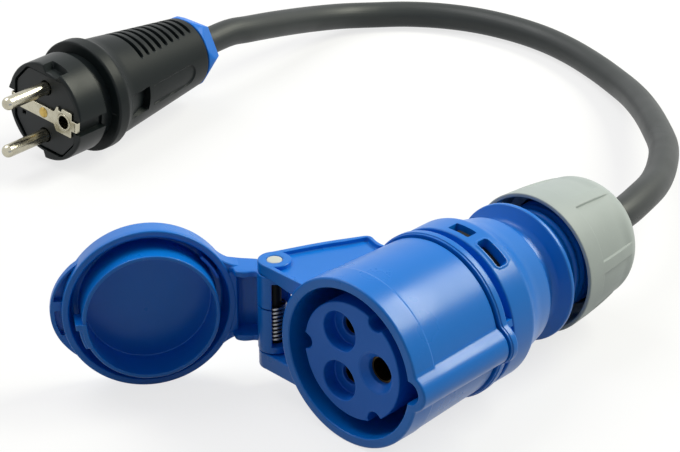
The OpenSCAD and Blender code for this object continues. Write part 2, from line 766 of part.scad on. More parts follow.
// Prism along +Y of an outline in X and Z
module prism(y0, y1, outline) {
    translate([0, y1, 0]) rotate([90, 0, 0]) linear_extrude(y1 - y0) polygon(outline);
}

// Hard front of the plug, open for the pin carrier, with guide slots at its sides
module plug_front() {
    edge = 0.8;
    wedge_angle = 76;
    wedge = [1, 4.4, 3.6];
    color("darkslategray") on_plug() difference() {
        turned([
            [0, 0], [front_r - edge, 0], [front_r, edge], [front_r, front_len - edge/2],
            [front_r - edge/2, front_len], [undercut_r, front_len], [undercut_r, collar_y - slip],
            [plug_spigot_r, collar_y - slip], [plug_spigot_r, plug_tail_end_y - 1], [0, plug_tail_end_y - 1],
        ]);
        prism(-tiny, block_end_y + tiny, block_outline);
        rod(block_end_y - tiny, plug_tail_end_y, plug_socket_r);
        for (side = [0, 180]) at_angle(side) {
            translate([front_r - guide_depth, -tiny, -guide_half])
                cube([2*guide_depth, guide_len, 2*guide_half]);
            translate([14, -tiny, -strap_half]) cube([6, face_y + strap_t/2, 2*strap_half]);
        }
        // Small wedge recess at the top edge
        at_angle(wedge_angle) translate([front_r - wedge[0], -tiny, -wedge[2]/2])
            cube([3*wedge[0], wedge[1], wedge[2]]);
    }
}

// Block that holds the pins and the earth socket
module pin_carrier() {
    bore = shank_r + slip/2;
    color("darkslategray") on_plug() difference() {
        union() {
            prism(face_y, block_end_y, [for (p = block_outline) p*(1 - slip/15)]);
            rod(block_end_y - tiny, plug_tail_end_y, plug_tail_r);
        }
        for (z = [-1, 1]) translate([0, 0, z*plug_pin_pitch/2]) rod(-tiny, plug_tail_end_y + tiny, bore);
        translate([plug_earth_x, 0, 0]) rod(-tiny, plug_tail_end_y + tiny, sleeve_r + slip/2);
        rod(-tiny, rivet_len + 0.5, rivet_r + slip/2);
    }
}

// Wire terminal behind the carrier, about the axis that it is drawn on
module plug_terminal() {
    difference() {
        rod(plug_tail_end_y + 0.1, plug_terminal_end_y, plug_terminal_r);
        rod(plug_terminal_end_y - wire_depth, plug_terminal_end_y + tiny, wire_hole_r);
        translate([0, plug_terminal_end_y - wire_depth/2, 0]) rotate([0, 90, 0])
            cylinder(h = plug_terminal_r + 1, r = screw_r + slip/2);
    }
}

// Round-nosed pin at +X with its terminal
module plug_pin() {
    translate([plug_pin_pitch/2, 0, 0]) union() {
        translate([0, plug_pin_r - plug_pin_len, 0]) sphere(r = plug_pin_r);
        rod(plug_pin_r - plug_pin_len, shank_y + tiny, plug_pin_r);
        rod(shank_y, plug_tail_end_y + 0.6, shank_r);
        plug_terminal();
    }
}

module plug_line_pin() {
    color("silver") on_plug() at_angle(90) plug_pin();
}

module plug_neutral_pin() {
    color("silver") on_plug() at_angle(-90) plug_pin();
}

// Earth strap across the face, with a bent arm in each guide slot
module earth_strap() {
    wide = 4.9;
    blade = [-12, 5.5];
    arm_half_w = 2;
    arm_len = 11;
    clear = 0.7;
    color("lightgray") on_plug() difference() {
        union() {
            translate([blade[0], face_y - strap_t, -strap_half])
                cube([blade[1] - blade[0], strap_t, 2*strap_half]);
            translate([plug_earth_x - wide, face_y - strap_t, -wide]) cube([1.8*wide, strap_t, 2*wide]);
            translate([-arm_x, face_y - strap_t, -arm_half_w]) cube([2*arm_x, strap_t, 2*arm_half_w]);
            for (side = [0, 180]) at_angle(side) translate([arm_x - strap_t, face_y - strap_t, -arm_half_w])
                cube([strap_t, arm_len, 2*arm_half_w]);
        }
        translate([plug_earth_x, 0, 0]) rod(-2, 2, sleeve_r + slip/2);
        for (z = [-1, 1]) translate([0, 0, z*plug_pin_pitch/2]) rod(-2, 2, shank_r + clear);
        rod(-2, 2, rivet_r + slip/2);
    }
}

module earth_rivet() {
    color("goldenrod") on_plug() union() {
        rod(face_y - strap_t - 0.6, face_y - strap_t, 2);
        rod(face_y - strap_t - tiny, rivet_len, rivet_r);
    }
}

// Socket for the earth pin of the other standard, with its terminal
module earth_sleeve() {
    bore_len = 17;
    color("silver") on_plug() translate([plug_earth_x, 0, 0]) difference() {
        union() {
            rod(face_y - strap_t, plug_tail_end_y + 0.6, sleeve_r);
            plug_terminal();
        }
        rod(-2, bore_len, plug_earth_r);
    }
}

module plug_screws() {
    color("silver") on_plug() for (p = [[90, plug_pin_pitch/2], [-90, plug_pin_pitch/2], [0, plug_earth_x]])
        at_angle(p[0]) translate([p[1], plug_terminal_end_y - wire_depth/2, 0])
            terminal_screw(plug_terminal_r);
}

// Outer radius of the grip at a distance behind the pin face
function handle_at(y) =
    handle_r - (handle_r - handle_end_r)*(y - collar_y - collar_len)/(handle_len - collar_len);

// Rubber grip with collar, grip grooves above and below, a latch pocket and a sunk side panel
module plug_grip() {
    edge = 1;
    grip_start_y = collar_y + collar_len;
    first_groove = grip_start_y + 14;
    groove_pitch = (handle_end_y - 3.6 - first_groove)/groove_count;
    panel_y = [grip_start_y + 17, handle_end_y - 10];
    panel_half = 4;
    panel_depth = 0.5;
    pocket = [1.3, 6.5, 4.4];
    color("darkslategray") on_plug() difference() {
        turned([
            [0, collar_y], [collar_r - edge, collar_y], [collar_r, collar_y + edge],
            [collar_r, grip_start_y - edge], [handle_r + edge/2, grip_start_y + edge],
            [handle_at(grip_start_y + 3), grip_start_y + 3], [handle_end_r, handle_end_y], [0, handle_end_y],
        ]);
        turned([
            [0, collar_y - tiny], [plug_chamber_r, collar_y - tiny], [plug_chamber_r, plug_chamber_y],
            [plug_ledge_r, plug_chamber_y + plug_taper_len], [plug_ledge_r, plug_seal_y],
            [plug_bore_r, plug_seal_y], [plug_bore_r, handle_end_y + tiny], [0, handle_end_y + tiny],
        ]);
        for (side = [90, -90]) at_angle(side) for (i = [0:groove_count - 1])
            translate([grip_floor, first_groove + i*groove_pitch, -collar_r])
                cube([collar_r, grip_groove_w, 2*collar_r]);
        for (side = [0, 180]) at_angle(side) {
            translate([handle_r - pocket[0], grip_start_y + 3, -pocket[2]/2])
                cube([4*pocket[0], pocket[1], pocket[2]]);
            translate([handle_at(panel_y[0]) - panel_depth, panel_y[0], -panel_half])
                rotate([0, 0, atan((handle_r - handle_end_r)/(handle_len - collar_len))])
                    cube([10*panel_depth, panel_y[1] - panel_y[0], 2*panel_half]);
        }
    }
}

module plug_seal() {
    color("dimgray") on_plug() difference() {
        rod(plug_seal_y + slip/2, plug_seal_y + plug_seal_len, plug_thread_r);
        rod(plug_seal_y - tiny, plug_seal_y + plug_seal_len + tiny, cable_r + slip);
    }
}

module plug_clamp_ring() {
    color("gainsboro") on_plug() difference() {
        rod(plug_clamp_y, plug_clamp_y + plug_clamp_t, plug_thread_r);
        rod(plug_clamp_y - tiny, plug_clamp_y + plug_clamp_t + tiny, cable_hole_r);
    }
}

// Blue nut with a tapered six-sided head and a threaded shank
module plug_nut() {
    sides = 6;
    taper = atan((handle_end_r - plug_nut_end_r)/plug_nut_len);
    color("dodgerblue") on_plug() difference() {
        union() {
            rod(plug_nut_y, plug_nut_end_y, handle_end_r);
            rod(plug_screw_y, plug_nut_y + tiny, plug_thread_r);
        }
        for (i = [0:sides - 1]) at_angle(PLUG_NUT_FLAT + i*360/sides)
            translate([handle_end_r - slip, plug_nut_y, -handle_end_r]) rotate([0, 0, taper])
                cube([handle_end_r, 2*plug_nut_len, 2*handle_end_r]);
        rod(plug_screw_y - tiny, plug_nut_end_y + tiny, cable_hole_r);
    }
}

module plug_line_wire() {
    color("saddlebrown") on_plug() wire_end(90, plug_pin_pitch/2, plug_sheath_y, plug_terminal_end_y);
}

module plug_neutral_wire() {
    color("steelblue") on_plug() wire_end(-90, plug_pin_pitch/2, plug_sheath_y, plug_terminal_end_y);
}

module plug_earth_wire() {
    color("yellowgreen") on_plug() wire_end(0, plug_earth_x, plug_sheath_y, plug_terminal_end_y);
}

front_housing();
contact_carrier();
carrier_latch();
line_contact();
neutral_contact();
earth_contact();
contact_screws();
rear_housing();
cable_seal();
clamp_ring();
cap_nut();
lid();
hinge_pin();
lid_spring();
line_wire();
neutral_wire();
earth_wire();
cable();
plug_front();
pin_carrier();
plug_line_pin();
plug_neutral_pin();
earth_strap();
earth_rivet();
earth_sleeve();
plug_screws();
plug_grip();
plug_seal();
plug_clamp_ring();
plug_nut();
plug_line_wire();
plug_neutral_wire();
plug_earth_wire();
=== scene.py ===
"""Dresses the power adapter cable: a blue round connector with a lid, a rubber cable and an earthed plug.

Sizes are millimetres in the part's own frame: the connector's axis runs along Y with its mouth at the origin
facing -Y, Z is up and the part lies on z = -26. Angles are degrees. Points go into the meshes in metres.
"""
import logging
import math
from dataclasses import dataclass
from enum import Enum
from typing import Callable, Optional, Sequence, Union

import bmesh
import bpy
import numpy as np
from mathutils import Matrix, Vector
from mathutils.geometry import delaunay_2d_cdt


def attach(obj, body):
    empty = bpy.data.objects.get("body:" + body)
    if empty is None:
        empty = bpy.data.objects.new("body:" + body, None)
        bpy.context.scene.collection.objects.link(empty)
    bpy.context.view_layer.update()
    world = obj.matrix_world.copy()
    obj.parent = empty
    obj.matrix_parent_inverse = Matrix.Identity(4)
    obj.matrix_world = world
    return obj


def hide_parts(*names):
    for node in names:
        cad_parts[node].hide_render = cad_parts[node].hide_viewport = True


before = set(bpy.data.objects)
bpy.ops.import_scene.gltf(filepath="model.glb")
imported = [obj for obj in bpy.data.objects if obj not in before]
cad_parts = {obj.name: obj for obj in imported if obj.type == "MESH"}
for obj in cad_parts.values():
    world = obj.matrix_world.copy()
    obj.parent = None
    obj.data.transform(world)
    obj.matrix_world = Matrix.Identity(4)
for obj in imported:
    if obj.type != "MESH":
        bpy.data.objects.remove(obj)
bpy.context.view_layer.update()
LOG = logging.getLogger("adapter")

Pair = tuple[float, float]
Triple = tuple[float, float, float]
Shape = Callable[[np.ndarray, float], np.ndarray]
Feed = Union[bpy.types.NodeSocket, float, Sequence[float]]
Sockets = bpy.types.bpy_prop_collection
Finishes = dict[str, bpy.types.Material]

MM = 0.001
FLOOR_Z = -26.0
# Sizes that several pieces share
RIM_R = 26.0
RIB_X = 23.3
HINGE = (-36.1, 7.8)
CORD_HOLE_R = 5.8
PLUG_PLACE = (-205.4, 61.7, -5.0)
PLUG_TURN = 3.4
# Distances in metres for welding a mesh, and the angle from which an edge stays sharp
WELD = 2e-6
SLIVER = 1e-6
SHARP = 38


class Body(Enum):
    """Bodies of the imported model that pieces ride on."""

    ADAPTER = "adapter"
    LID = "lid"
    CAP_NUT = "cap_nut"
    PLUG_NUT = "plug_nut"


class Across(Enum):
    """Direction in which an outline is drawn out into a prism."""

    UP = "outline in X and Y, drawn out along Z"
    BACK = "outline in X and Z, drawn out along Y"


# Shapes

def unit(v: np.ndarray) -> np.ndarray:
    """Scale vectors along the last axis to length one."""
    return v / np.maximum(np.linalg.norm(v, axis=-1, keepdims=True), 1e-12)


def arc(centre: Sequence[float], radius: float, start: float, stop: float, count: int) -> np.ndarray:
    """Points of a circle between two angles, as (count, 2)."""
    a = np.radians(np.linspace(start, stop, count))
    return np.asarray(centre) + radius * np.stack([np.cos(a), np.sin(a)], -1)


def ring(centre: Sequence[float], radius: float, count: int) -> np.ndarray:
    """Closed circle of points, without a repeated last point."""
    return arc(centre, radius, 0, 360, count + 1)[:-1]


def bow(a: np.ndarray, c: np.ndarray, b: np.ndarray, t: np.ndarray) -> np.ndarray:
    """Curve (1-t)^2 a + 2 t (1-t) c + t^2 b, which runs from a to b and bends towards c."""
    return (1 - t) ** 2 * a + 2 * t * (1 - t) * c + t ** 2 * b


def rounded(corners: Sequence, radius: float | Sequence[float], steps: int = 7,
            closed: bool = True) -> np.ndarray:
    """Round each corner of a polyline by a bow that starts and ends one radius before and after it.

    Args:
        corners: Points of the polyline.
        radius: One radius, or one for each corner. It takes up at most 0.45 of the way to the next corner.
        steps: Points on each rounded corner.
        closed: Whether the last point joins the first.

    Returns:
        Points of the rounded line.
    """
    p = np.asarray(corners, float)
    before, after = np.roll(p, 1, 0) - p, np.roll(p, -1, 0) - p
    room = 0.45 * np.minimum(np.linalg.norm(before, axis=1), np.linalg.norm(after, axis=1))
    cut = np.minimum(np.broadcast_to(radius, len(p)), room)[:, None, None]
    t = np.linspace(0, 1, steps)[None, :, None]
    a, b = p[:, None] + unit(before)[:, None] * cut, p[:, None] + unit(after)[:, None] * cut
    curve = bow(a, p[:, None], b, t)
    if closed:
        return curve.reshape(-1, p.shape[1])
    return np.vstack([p[:1], curve[1:-1].reshape(-1, p.shape[1]), p[-1:]])


def run_along(line: np.ndarray) -> np.ndarray:
    """Distance of each point of a line from its start, measured along it."""
    return np.concatenate([[0], np.cumsum(np.linalg.norm(np.diff(line, axis=0), axis=1))])


def blunt(outline: np.ndarray, reach: float, spacing: float = 0.2) -> np.ndarray:
    """Round every corner of a closed outline: space its points evenly, then average each with its neighbours.

    Args:
        outline: Points of the outline.
        reach: Distance on both sides that the average takes in.
        spacing: Distance between the new points.

    Returns:
        Points of the blunt outline.
    """
    loop = np.vstack([outline, outline[:1]])
    run = run_along(loop)
    at = np.linspace(0, run[-1], int(run[-1] / spacing), endpoint=False)
    even = np.stack([np.interp(at, run, loop[:, 0]), np.interp(at, run, loop[:, 1])], -1)
    side = max(1, round(reach / spacing))
    return np.mean([np.roll(even, k, 0) for k in range(-side, side + 1)], axis=0)


def refine(line: np.ndarray, heights: np.ndarray, rows: Optional[int] = None) -> np.ndarray:
    """Put close rows into a side line, in place of those between the first and the last new height.

    Args:
        line: Rows of radius and height.
        heights: Heights of the new rows, whose radii are read off the line.
        rows: Number of leading rows that make up the outer side, or None for all.

    Returns:
        The line with the new rows in it.
    """
    rising = line[:rows]
    start, stop = np.searchsorted(rising[:, 1], heights[[0, -1]])
    fine = np.stack([np.interp(heights, rising[:, 1], rising[:, 0]), heights], -1)
    return np.vstack([line[:start], fine, line[stop:]])


def smooth_max(a: np.ndarray, b: np.ndarray, blend: float) -> np.ndarray:
    """Larger of two fields, with a fillet about `blend` wide where they cross."""
    return 0.5 * (a + b + np.sqrt((a - b) ** 2 + blend ** 2))


def smooth_min(a: np.ndarray, b: np.ndarray, blend: float) -> np.ndarray:
    """Smaller of two fields, with a round edge about `blend` wide where they cross."""
    return -smooth_max(-a, -b, blend)


def step(x: np.ndarray, edge: float, width: float) -> np.ndarray:
    """Rise from 0 to 1 over a width centred on an edge, with level ends."""
    t = np.clip((x - edge) / width + 0.5, 0, 1)
    return t * t * (3 - 2 * t)


def bump(x: np.ndarray, low: float, high: float, width: float) -> np.ndarray:
    """One between two edges and 0 outside them, with soft flanks."""
    return step(x, low, width) - step(x, high, width)


def far_side(angle: np.ndarray, centre: float, radius: float) -> np.ndarray:
    """Distance from the axis to the far side of a round bar that stands off it.

    A ray at an angle a meets a circle of radius r about (c, 0) at c cos a + sqrt(r^2 - c^2 sin^2 a). Rays
    that miss it give 0.

    Args:
        angle: Angles of the rays in radians, with the bar at 0.
        centre: Distance c of the bar from the axis.
        radius: Radius r of the bar.

    Returns:
        Distances along the rays.
    """
    inside = radius ** 2 - (centre * np.sin(angle)) ** 2
    hit = centre * np.cos(angle) + np.sqrt(np.maximum(inside, 0))
    return np.where((inside > 0) & (np.cos(angle) > 0), hit, 0)


def around(radius: np.ndarray, height: np.ndarray, angle: np.ndarray) -> np.ndarray:
    """Points about the Y axis from radius and height fields, with angles in radians from +X towards +Z."""
    radius, height, angle = np.broadcast_arrays(radius, height, angle)
    return np.stack([radius * np.cos(angle), height, radius * np.sin(angle)], -1)


def turn_angles(*dense: Triple, plain: float) -> np.ndarray:
    """Angles of a full turn in radians: one plain step, and stretches with a closer one.

    Args:
        dense: First angle, last angle and step of each closer stretch, in degrees.
        plain: Step of the whole turn in degrees.

    Returns:
        The angles in rising order.
    """
    spread = [np.arange(0, 360, plain)] + [np.arange(lo, hi, by) for lo, hi, by in dense]
    return np.radians(np.unique(np.round(np.concatenate(spread) % 360, 4)))


def turn_about(axis: str, degrees: float) -> np.ndarray:
    """Matrix of a turn about an axis."""
    return np.array(Matrix.Rotation(math.radians(degrees), 3, axis))


def enclosed(points: np.ndarray, loop: np.ndarray) -> np.ndarray:
    """Tell which points lie inside a closed outline, by counting its crossings to the right of each point.

    Args:
        points: Points as (n, 2).
        loop: Outline as (m, 2).

    Returns:
        True for each point inside.
    """
    a, b = loop[None], np.roll(loop, -1, 0)[None]
    x, y = points[:, None, 0], points[:, None, 1]
    spans = (a[..., 1] > y) != (b[..., 1] > y)
    rise = np.where(spans, b[..., 1] - a[..., 1], 1.0)
    crossing = a[..., 0] + (b[..., 0] - a[..., 0]) * (y - a[..., 1]) / rise
    return np.sum(spans & (x < crossing), axis=1) % 2 == 1


def lift(flat: np.ndarray, height: float | np.ndarray, across: Across) -> np.ndarray:
    """Raise points of a plane to a height along the direction in which a prism is drawn out."""
    u, v, h = np.broadcast_arrays(flat[..., 0], flat[..., 1], height)
    return np.stack((u, v, h) if across is Across.UP else (u, h, v), -1)


def soft_levels(low: float, high: float, edge: float, steps: int = 4) -> np.ndarray:
    """Heights and insets of a prism's wall with quarter-round edges.

    Args:
        low: Height of the lower face.
        high: Height of the upper face.
        edge: Radius of both edges.
        steps: Levels on each edge.

    Returns:
        Rows of height and inset, from the lower face to the upper one.
    """
    a = np.linspace(0, np.pi / 2, steps)
    inset, rise = edge * (1 - np.sin(a)), edge * (1 - np.cos(a))
    lower = np.stack([low + rise, inset], -1)
    return np.vstack([lower, np.stack([high - rise, inset], -1)[::-1]])


class Skin:
    """Patches of one piece, gathered in millimetres and put into a mesh together."""

    def __init__(self) -> None:
        """Start with no patch."""
        self.points: list[np.ndarray] = []
        self.faces: list[list[int]] = []
        self.count = 0

    def take(self, points: np.ndarray) -> np.ndarray:
        """Keep points.

        Args:
            points: Points in any layout.

        Returns:
            Their indices in the same layout.
        """
        index = np.arange(points[..., 0].size).reshape(points.shape[:-1]) + self.count
        self.points.append(points.reshape(-1, 3))
        self.count += index.size
        return index

    def grid(self, points: np.ndarray, wrap_rows: bool = False) -> np.ndarray:
        """Add a grid of points as quads, with its last column joined to its first.

        Args:
            points: Points as (rows, columns, 3).
            wrap_rows: Whether the last row joins the first too.

        Returns:
            Indices of the points.
        """
        index = self.take(points)
        net = np.vstack([index, index[:1]]) if wrap_rows else index
        net = np.hstack([net, net[:, :1]])
        quads = np.stack([net[:-1, :-1], net[1:, :-1], net[1:, 1:], net[:-1, 1:]], -1)
        self.faces += quads.reshape(-1, 4).tolist()
        return index

    def cap(self, rings: Sequence[np.ndarray], height: float, across: Across) -> None:
        """Fill the flat area inside the first ring and outside the others with triangles.

        Args:
            rings: Closed outlines as (n, 2) in the plane of the cap.
            height: Height of that plane.
            across: Direction of the height.
        """
        starts = np.cumsum([0] + [len(r) for r in rings])
        edges = [start + np.stack([np.arange(len(r)), np.roll(np.arange(len(r)), -1)], -1)
                 for r, start in zip(rings, starts)]
        out = delaunay_2d_cdt(np.concatenate(rings).tolist(), np.concatenate(edges).tolist(), [], 0, 1e-6)
        flat, faces = np.array(out[0]), np.array(out[2])
        middle = flat[faces].mean(1)
        keep = np.sum([enclosed(middle, r) for r in rings], axis=0) % 2 == 1
        self.faces += self.take(lift(flat, height, across))[faces[keep]].tolist()

    def prism(self, outline: np.ndarray, levels: np.ndarray, across: Across,
              holes: Sequence[np.ndarray] = (), weight: Optional[np.ndarray] = None,
              shape: Optional[Shape] = None, hole_share: float = 1.0) -> None:
        """Draw an outline out through levels, each moved inwards by its inset, and cap both ends.

        The wall is the grid outline(i) + inset(k) * weight(i) * inward(i) at height(k); holes have walls of
        their own that move outwards by the inset.

        Args:
            outline: Closed outline as (n, 2).
            levels: Rows of height and inset.
            across: Direction of the heights.
            holes: Closed outlines of through holes.
            weight: Share of the inset that each point of the outline takes.
            shape: Last change to the outline at a height.
            hole_share: Share of the inset that the holes take.
        """
        ends: list[list[np.ndarray]] = [[], []]
        for place, loop in enumerate((outline, *holes)):
            tangent = np.roll(loop, -1, 0) - np.roll(loop, 1, 0)
            area = np.sum(loop[:, 0] * np.roll(loop[:, 1], -1) - loop[:, 1] * np.roll(loop[:, 0], -1))
            side = np.sign(area) * (-1 if place else 1)
            inward = side * unit(np.stack([-tangent[:, 1], tangent[:, 0]], -1))
            share = hole_share if place else 1.0 if weight is None else weight[:, None]
            flat = loop + levels[:, 1, None, None] * share * inward
            if shape is not None and not place:
                flat = np.stack([shape(f, h) for f, h in zip(flat, levels[:, 0])])
            self.grid(lift(flat, levels[:, 0, None], across))
            ends[0].append(flat[0])
            ends[1].append(flat[-1])
        for rings, height in zip(ends, levels[[0, -1], 0]):
            self.cap(rings, height, across)

    def lathe(self, profile: np.ndarray, place: Sequence[float] = (0, 0, 0), across: Across = Across.BACK,
              sides: int = 72, closed: bool = False) -> None:
        """Turn a profile about an axis.

        Args:
            profile: Rows of radius and height.
            place: A point of the axis, from which the heights count.
            across: Direction of the axis.
            sides: Points on each circle.
            closed: Whether the last row joins the first.
        """
        points = around(profile[:, :1], profile[:, 1:], np.linspace(0, 2 * np.pi, sides, endpoint=False))
        if across is Across.UP:
            points = points[..., [0, 2, 1]]
        self.grid(points + np.asarray(place, float), wrap_rows=closed)

    def tube(self, path: np.ndarray, radius: float, sides: int) -> None:
        """Carry a circle along a path, square to it, and close both ends.

        Each ring is path + radius (n cos a + b sin a), where n is level and square to the path and b is
        square to both.

        Args:
            path: Points of the centre line.
            radius: Radius of the tube.
            sides: Points on each ring.
        """
        along = unit(np.gradient(path, axis=0))
        level = unit(np.cross(along, [0, 0, 1]))
        rise = np.cross(level, along)
        a = np.linspace(0, 2 * np.pi, sides, endpoint=False)[None, :, None]
        index = self.grid(path[:, None] + radius * (level[:, None] * np.cos(a) + rise[:, None] * np.sin(a)))
        self.faces += [index[0].tolist(), index[-1][::-1].tolist()]

    def bent_block(self, angles: Pair, radii: Pair, heights: Pair, edge: float) -> None:
        """Add a block bent round the Y axis, with round edges: an outline in X and Z drawn out along Y."""
        outline = np.vstack([arc((0, 0), radii[1], *angles, 24), arc((0, 0), radii[0], *angles[::-1], 24)])
        self.prism(blunt(outline, 1.6 * edge, 0.12), soft_levels(*heights, edge), Across.BACK)

    def place(self, turn: np.ndarray, shift: np.ndarray) -> None:
        """Turn and then shift all patches gathered so far."""
        self.points = [p @ turn.T + shift for p in self.points]


def finish_piece(name: str, skin: Skin, material: bpy.types.Material, body: Body,
                 stands_for: Sequence[str] = ()) -> bpy.types.Object:
    """Put a skin into a mesh, weld it, turn its faces outwards and give it its finish and body.

    Args:
        name: Name of the piece.
        skin: Its patches.
        material: Its finish, named for the record's slot.
        body: Body that it moves with.
        stands_for: CAD nodes that it replaces.

    Returns:
        The new object.
    """
    mesh = bpy.data.meshes.new(name)
    mesh.from_pydata((np.concatenate(skin.points) * MM).tolist(), [], skin.faces)
    weld = bmesh.new()
    weld.from_mesh(mesh)
    bmesh.ops.remove_doubles(weld, verts=weld.verts, dist=WELD)
    bmesh.ops.dissolve_degenerate(weld, edges=weld.edges, dist=SLIVER)
    bmesh.ops.recalc_face_normals(weld, faces=weld.faces)
    weld.to_mesh(mesh)
    weld.free()
    mesh.polygons.foreach_set("use_smooth", np.ones(len(mesh.polygons), bool))
    mesh.set_sharp_from_angle(angle=math.radians(SHARP))
    mesh.materials.append(material)
    piece = bpy.data.objects.new(name, mesh)
    bpy.context.scene.collection.objects.link(piece)
    level = piece.modifiers.new("level_faces", "WEIGHTED_NORMAL")
    level.keep_sharp = True
    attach(piece, body.value)
    if stands_for:
        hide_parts(*stands_for)
    LOG.info("%s: %d faces", name, len(mesh.polygons))
    return piece


# Finishes

def linear(colour: Triple) -> tuple[float, ...]:
    """Turn a screen colour of 0 to 255 into a linear colour with alpha."""
    c = np.asarray(colour, float) / 255
    return (*np.where(c <= 0.04045, c / 12.92, ((c + 0.055) / 1.055) ** 2.4).tolist(), 1.0)


class Bench:
    """Places and joins the nodes of one tree."""

    def __init__(self, tree: bpy.types.NodeTree) -> None:
        """Work on one tree."""
        self.tree = tree

    def fill(self, inputs: Sockets, values: dict[str | int, Feed]) -> None:
        """Join inputs to other nodes' outputs, or set their own values.

        Args:
            inputs: Inputs of a node.
            values: Outputs or plain values, by the input's name or index.
        """
        for key, value in values.items():
            if isinstance(value, bpy.types.NodeSocket):
                self.tree.links.new(value, inputs[key])
            else:
                inputs[key].default_value = value

    def add(self, kind: str, inputs: Optional[dict[str | int, Feed]] = None, **settings: object) -> Sockets:
        """Place a node.

        Args:
            kind: Node type without the leading ShaderNode.
            inputs: Values or sockets for its inputs, by name or index.
            settings: Attributes to set on it.

        Returns:
            The node's outputs.
        """
        node = self.tree.nodes.new("ShaderNode" + kind)
        for key, value in settings.items():
            setattr(node, key, value)
        self.fill(node.inputs, inputs or {})
        return node.outputs

    def math(self, operation: str, *values: Feed) -> bpy.types.NodeSocket:
        """Place a Math node with these inputs and return its result."""
        return self.add("Math", dict(enumerate(values)), operation=operation)[0]

    def blend(self, share: Feed, a: Feed, b: Feed) -> bpy.types.NodeSocket:
        """Mix two colours and return the result."""
        return self.add("Mix", {0: share, 6: a, 7: b}, data_type="RGBA")[2]

    def spread(self, value: Feed, low: float, high: float, to: Pair = (0.0, 1.0)) -> bpy.types.NodeSocket:
        """Map a range of values onto another and return the result."""
        return self.add("MapRange", {0: value, 1: low, 2: high, 3: to[0], 4: to[1]}, clamp=True)[0]

    def noise(self, place: Feed, scale: Feed, detail: float, roughness: float = 0.5) -> bpy.types.NodeSocket:
        """Place a noise texture and return its value."""
        inputs = {"Vector": place, "Scale": scale, "Detail": detail, "Roughness": roughness}
        return self.add("TexNoise", inputs)[0]


def new_group(name: str, inputs: dict[str, str], outputs: Sequence[str]) -> tuple[Bench, Sockets, Sockets]:
    """Make an empty shader node group with named sockets.

    Args:
        name: Name of the group.
        inputs: Socket kinds by input name.
        outputs: Names of its value outputs.

    Returns:
        A bench on the group's tree, what the group is given, and what it hands out.
    """
    tree = bpy.data.node_groups.new(name, "ShaderNodeTree")
    for key, kind in inputs.items():
        tree.interface.new_socket(key, in_out="INPUT", socket_type="NodeSocket" + kind)
    for key in outputs:
        tree.interface.new_socket(key, in_out="OUTPUT", socket_type="NodeSocketFloat")
    return Bench(tree), tree.nodes.new("NodeGroupInput").outputs, tree.nodes.new("NodeGroupOutput").inputs


def moulded_skin() -> bpy.types.NodeTree:
    """Group for moulded surfaces: spark-eroded grain, slow patches, and fine handling scuffs.

    Returns:
        The group, with outputs Grain, Patch and Scuff between 0 and 1.
    """
    inputs = {"Place": "Vector", "Grain Scale": "Float", "Patch Scale": "Float"}
    bench, given, out = new_group("moulded_skin", inputs, ("Grain", "Patch", "Scuff"))
    place, fine = given["Place"], given["Grain Scale"]
    cells = bench.add("TexVoronoi", {"Vector": place, "Scale": fine}, feature="SMOOTH_F1")["Distance"]
    pits = bench.math("MULTIPLY", cells, 0.3)
    grain = bench.math("MULTIPLY_ADD", bench.noise(place, fine, 3.0, 0.6), 0.7, pits)
    slow = bench.noise(place, given["Patch Scale"], 4.0, 0.55)
    lie = {"Vector": place, "Rotation": (0.4, 0.9, 0.3), "Scale": (60.0, 900.0, 900.0)}
    drawn = bench.add("Mapping", lie)[0]
    lines, sparse = bench.noise(drawn, 1.0, 2.0), bench.noise(place, 90.0, 1.0)
    scuff = bench.math("MULTIPLY", bench.spread(lines, 0.62, 0.74), bench.spread(sparse, 0.52, 0.66))
    bench.fill(out, {"Grain": grain, "Patch": bench.spread(slow, 0.3, 0.7), "Scuff": scuff})
    return bench.tree


def drawn_metal() -> bpy.types.NodeTree:
    """Group for metal: fine lines along one direction, and a slow tarnish.

    Returns:
        The group, with outputs Lines and Tarnish between 0 and 1.
    """
    inputs = {"Place": "Vector", "Stretch": "Vector"}
    bench, given, out = new_group("drawn_metal", inputs, ("Lines", "Tarnish"))
    along = bench.add("VectorMath", {0: given["Place"], 1: given["Stretch"]}, operation="MULTIPLY")[0]
    lines, tarnish = bench.noise(along, 1.0, 3.0), bench.noise(given["Place"], 260.0, 4.0)
    bench.fill(out, {"Lines": bench.spread(lines, 0.3, 0.7), "Tarnish": bench.spread(tarnish, 0.42, 0.7)})
    return bench.tree


def blank_material(slot: str) -> tuple[bpy.types.Material, Bench, Sockets, Sockets]:
    """Make a material with its shader and coordinates in place.

    Args:
        slot: Slot of the record that it is named for.

    Returns:
        The material, a bench on its tree, the shader's inputs and the coordinates.
    """
    material = bpy.data.materials.new(slot + "_finish")
    material.use_nodes = True
    bench = Bench(material.node_tree)
    return material, bench, material.node_tree.nodes["Principled BSDF"].inputs, bench.add("TexCoord")


